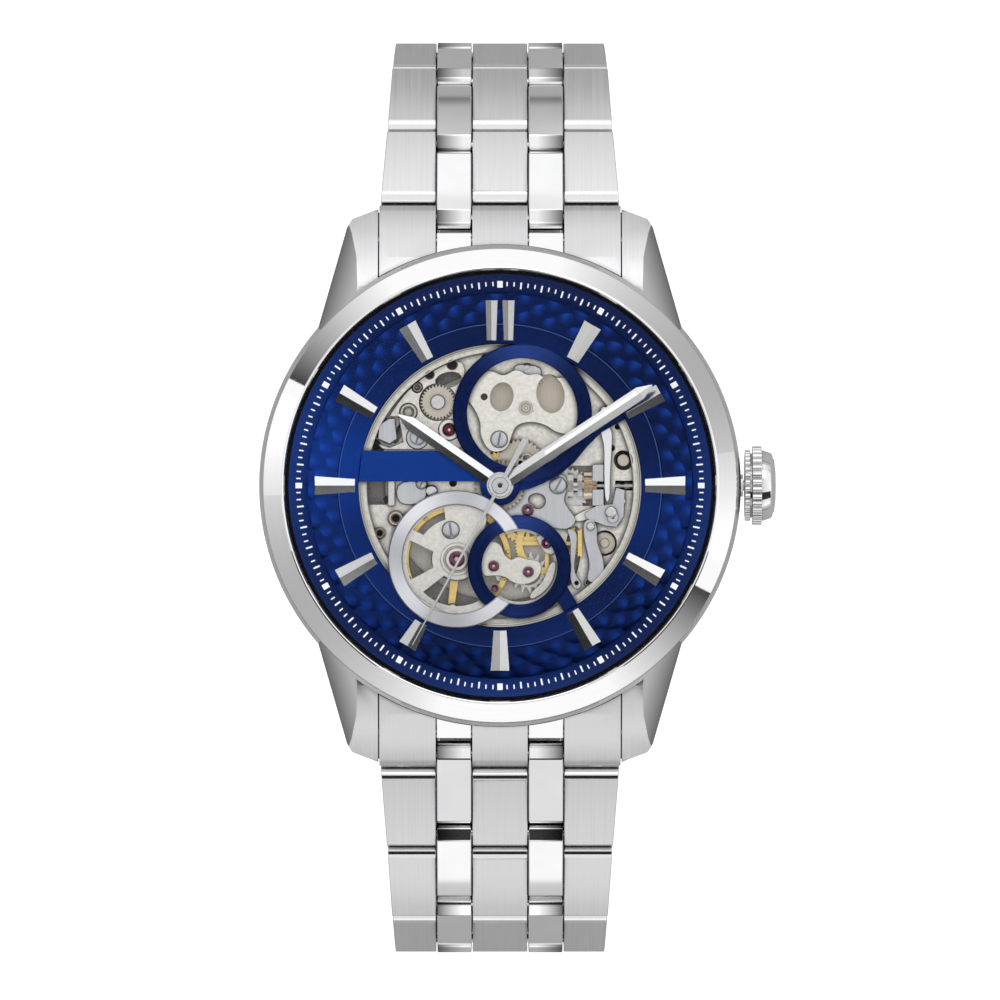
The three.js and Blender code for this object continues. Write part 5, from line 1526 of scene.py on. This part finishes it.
# ---------------------------------------------------------------- floor, light and camera
FLOOR_GAP = 0.004  # metres between the watch's lowest point and the paper
FLOOR_REACH = 3.0  # metres
WALL_LIGHT, ZENITH_LIGHT = 1.05, 0.86
FLAG_TURN = math.radians(27)  # the flags' sharp edges are this far clockwise of the X axis
FLAG_FADE = 0.6  # radians over which a flag's dark fades out
DIM_MIDDLE, DIM_REACH = math.radians(58), math.radians(44)  # measured from a flag's sharp edge
FLAG_DARK, DIM_DARK = 0.96, 0.56  # the share of the wall's light that goes
BRIGHT_SIDE = math.radians(20)  # anticlockwise of the X axis


def card(name, size, place, strength):
    """A large soft light aimed at the watch, in metres, that the camera doesn't see."""
    data = bpy.data.lights.new(name, "AREA")
    data.shape = "RECTANGLE"
    data.size, data.size_y = size
    data.energy = strength
    made = linked(name, data)
    made.location = place
    made.rotation_euler = (-Vector(place)).to_track_quat("-Z", "Y").to_euler()
    made.visible_camera = False


def build_stage():
    bm = bmesh.new()
    bmesh.ops.create_grid(bm, x_segments=8, y_segments=8, size=FLOOR_REACH)
    bmesh.ops.translate(bm, vec=(0, 0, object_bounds()[0][2] - FLOOR_GAP), verts=bm.verts)
    floor = linked("floor", from_bmesh("floor", bm))
    s = Shader("floor_paper")
    s.set(Base_Color=(0.5, 0.5, 0.5, 1), Roughness=0.9, Specular_IOR_Level=0.0)
    # the paper is lit up to white for the camera, and stays grey in the steel's reflections
    seen = s.node("ShaderNodeLightPath").outputs["Is Camera Ray"]
    glow = s.mul(seen, s.add(0.9, s.mul(s.speckle(40, 2), 0.02)))
    s.set(Emission_Color=(1, 1, 1, 1))
    s.join(glow, s.bsdf.inputs["Emission Strength"])
    # from underneath the paper isn't there, so that the back of the watch can be looked at
    s.join(s.front(), s.bsdf.inputs["Alpha"])
    floor.data.materials.append(s.material)


def build_world():
    """A pale studio: bright above, darker low down, with soft dark flags on two opposite sides."""
    world = bpy.data.worlds.new("studio")
    bpy.context.scene.world = world
    world.use_nodes = True
    w = Nodes(world.node_tree)
    x, y, z = w.split(w.node("ShaderNodeTexCoord").outputs["Generated"])
    azimuth = w.math("ARCTAN2", y, x)

    def step(low, high):
        limits = {"From Min": low, "From Max": high}
        made = w.node("ShaderNodeMapRange", interpolation_type="SMOOTHSTEP", **limits)
        w.join(z, made.inputs["Value"])
        return made.outputs[0]

    def blend(share, a, b):
        return w.add(w.mul(w.sub(1.0, share), a), w.mul(share, b))

    # two opposite flags near the horizon: each starts sharply at an angle and fades out clockwise
    fold = w.math("MODULO", w.add(azimuth, 2 * math.pi + FLAG_TURN), math.pi)
    fade = w.math("MINIMUM", w.div(w.sub(math.pi, fold), FLAG_FADE), 1.0)
    wall = w.mul(WALL_LIGHT, w.sub(1.0, w.mul(w.sub(1.0, fade), FLAG_DARK)))
    # between the flags the wall dims softly, once on each side
    away = w.div(w.math("ABSOLUTE", w.sub(fold, DIM_MIDDLE)), DIM_REACH)
    dim = w.sub(1.0, w.math("MINIMUM", w.mul(away, away), 1.0))
    wall = w.mul(wall, w.sub(1.0, w.mul(dim, DIM_DARK)))
    # higher up the room is brighter between two and three o'clock and darker opposite
    lean = w.math("COSINE", w.sub(azimuth, BRIGHT_SIDE))
    side = w.add(0.86, w.mul(lean, 0.13))
    low = w.add(0.42, w.mul(z, 0.95))
    room = blend(step(0.0, 0.06), 0.2, low)
    room = blend(step(0.24, 0.28), room, wall)
    room = blend(step(0.48, 0.54), room, side)
    total = blend(step(0.84, 0.95), room, ZENITH_LIGHT)
    background = w.nodes["Background"]
    w.join(total, background.inputs["Strength"])
    background.inputs["Color"].default_value = (1, 1, 1, 1)


def build_dark_card():
    """A dark flag above the six o'clock half, seen only in reflections, that shades some flanks."""
    flag = linked("dark_flag", prism_mesh(rectangle(-70, 70, -46, -17), 49, 50))
    flag.data.materials.append(paint("flag_cloth", (0.05, 0.05, 0.05), 0.9))
    flag.visible_camera = flag.visible_shadow = flag.visible_diffuse = False


build_stage()
build_world()
build_dark_card()
card("key", (0.5, 0.3), (0.05, 0.45, 0.55), 0.3)
card("left", (0.3, 0.5), (-0.55, 0.1, 0.4), 0.06)
card("right", (0.3, 0.5), (0.55, -0.05, 0.35), 0.06)


def build_camera():
    """A long lens, in metres, almost straight above the dial, so that hardly any wall shows."""
    data = bpy.data.cameras.new("camera")
    data.sensor_width = 36
    data.lens = 508
    data.clip_start, data.clip_end = 0.01, 10
    camera = linked("camera", data)
    camera.location = (0, -0.00123, 1.209)
    bpy.context.scene.camera = camera
    bpy.context.scene.view_settings.view_transform = "Standard"


build_camera()
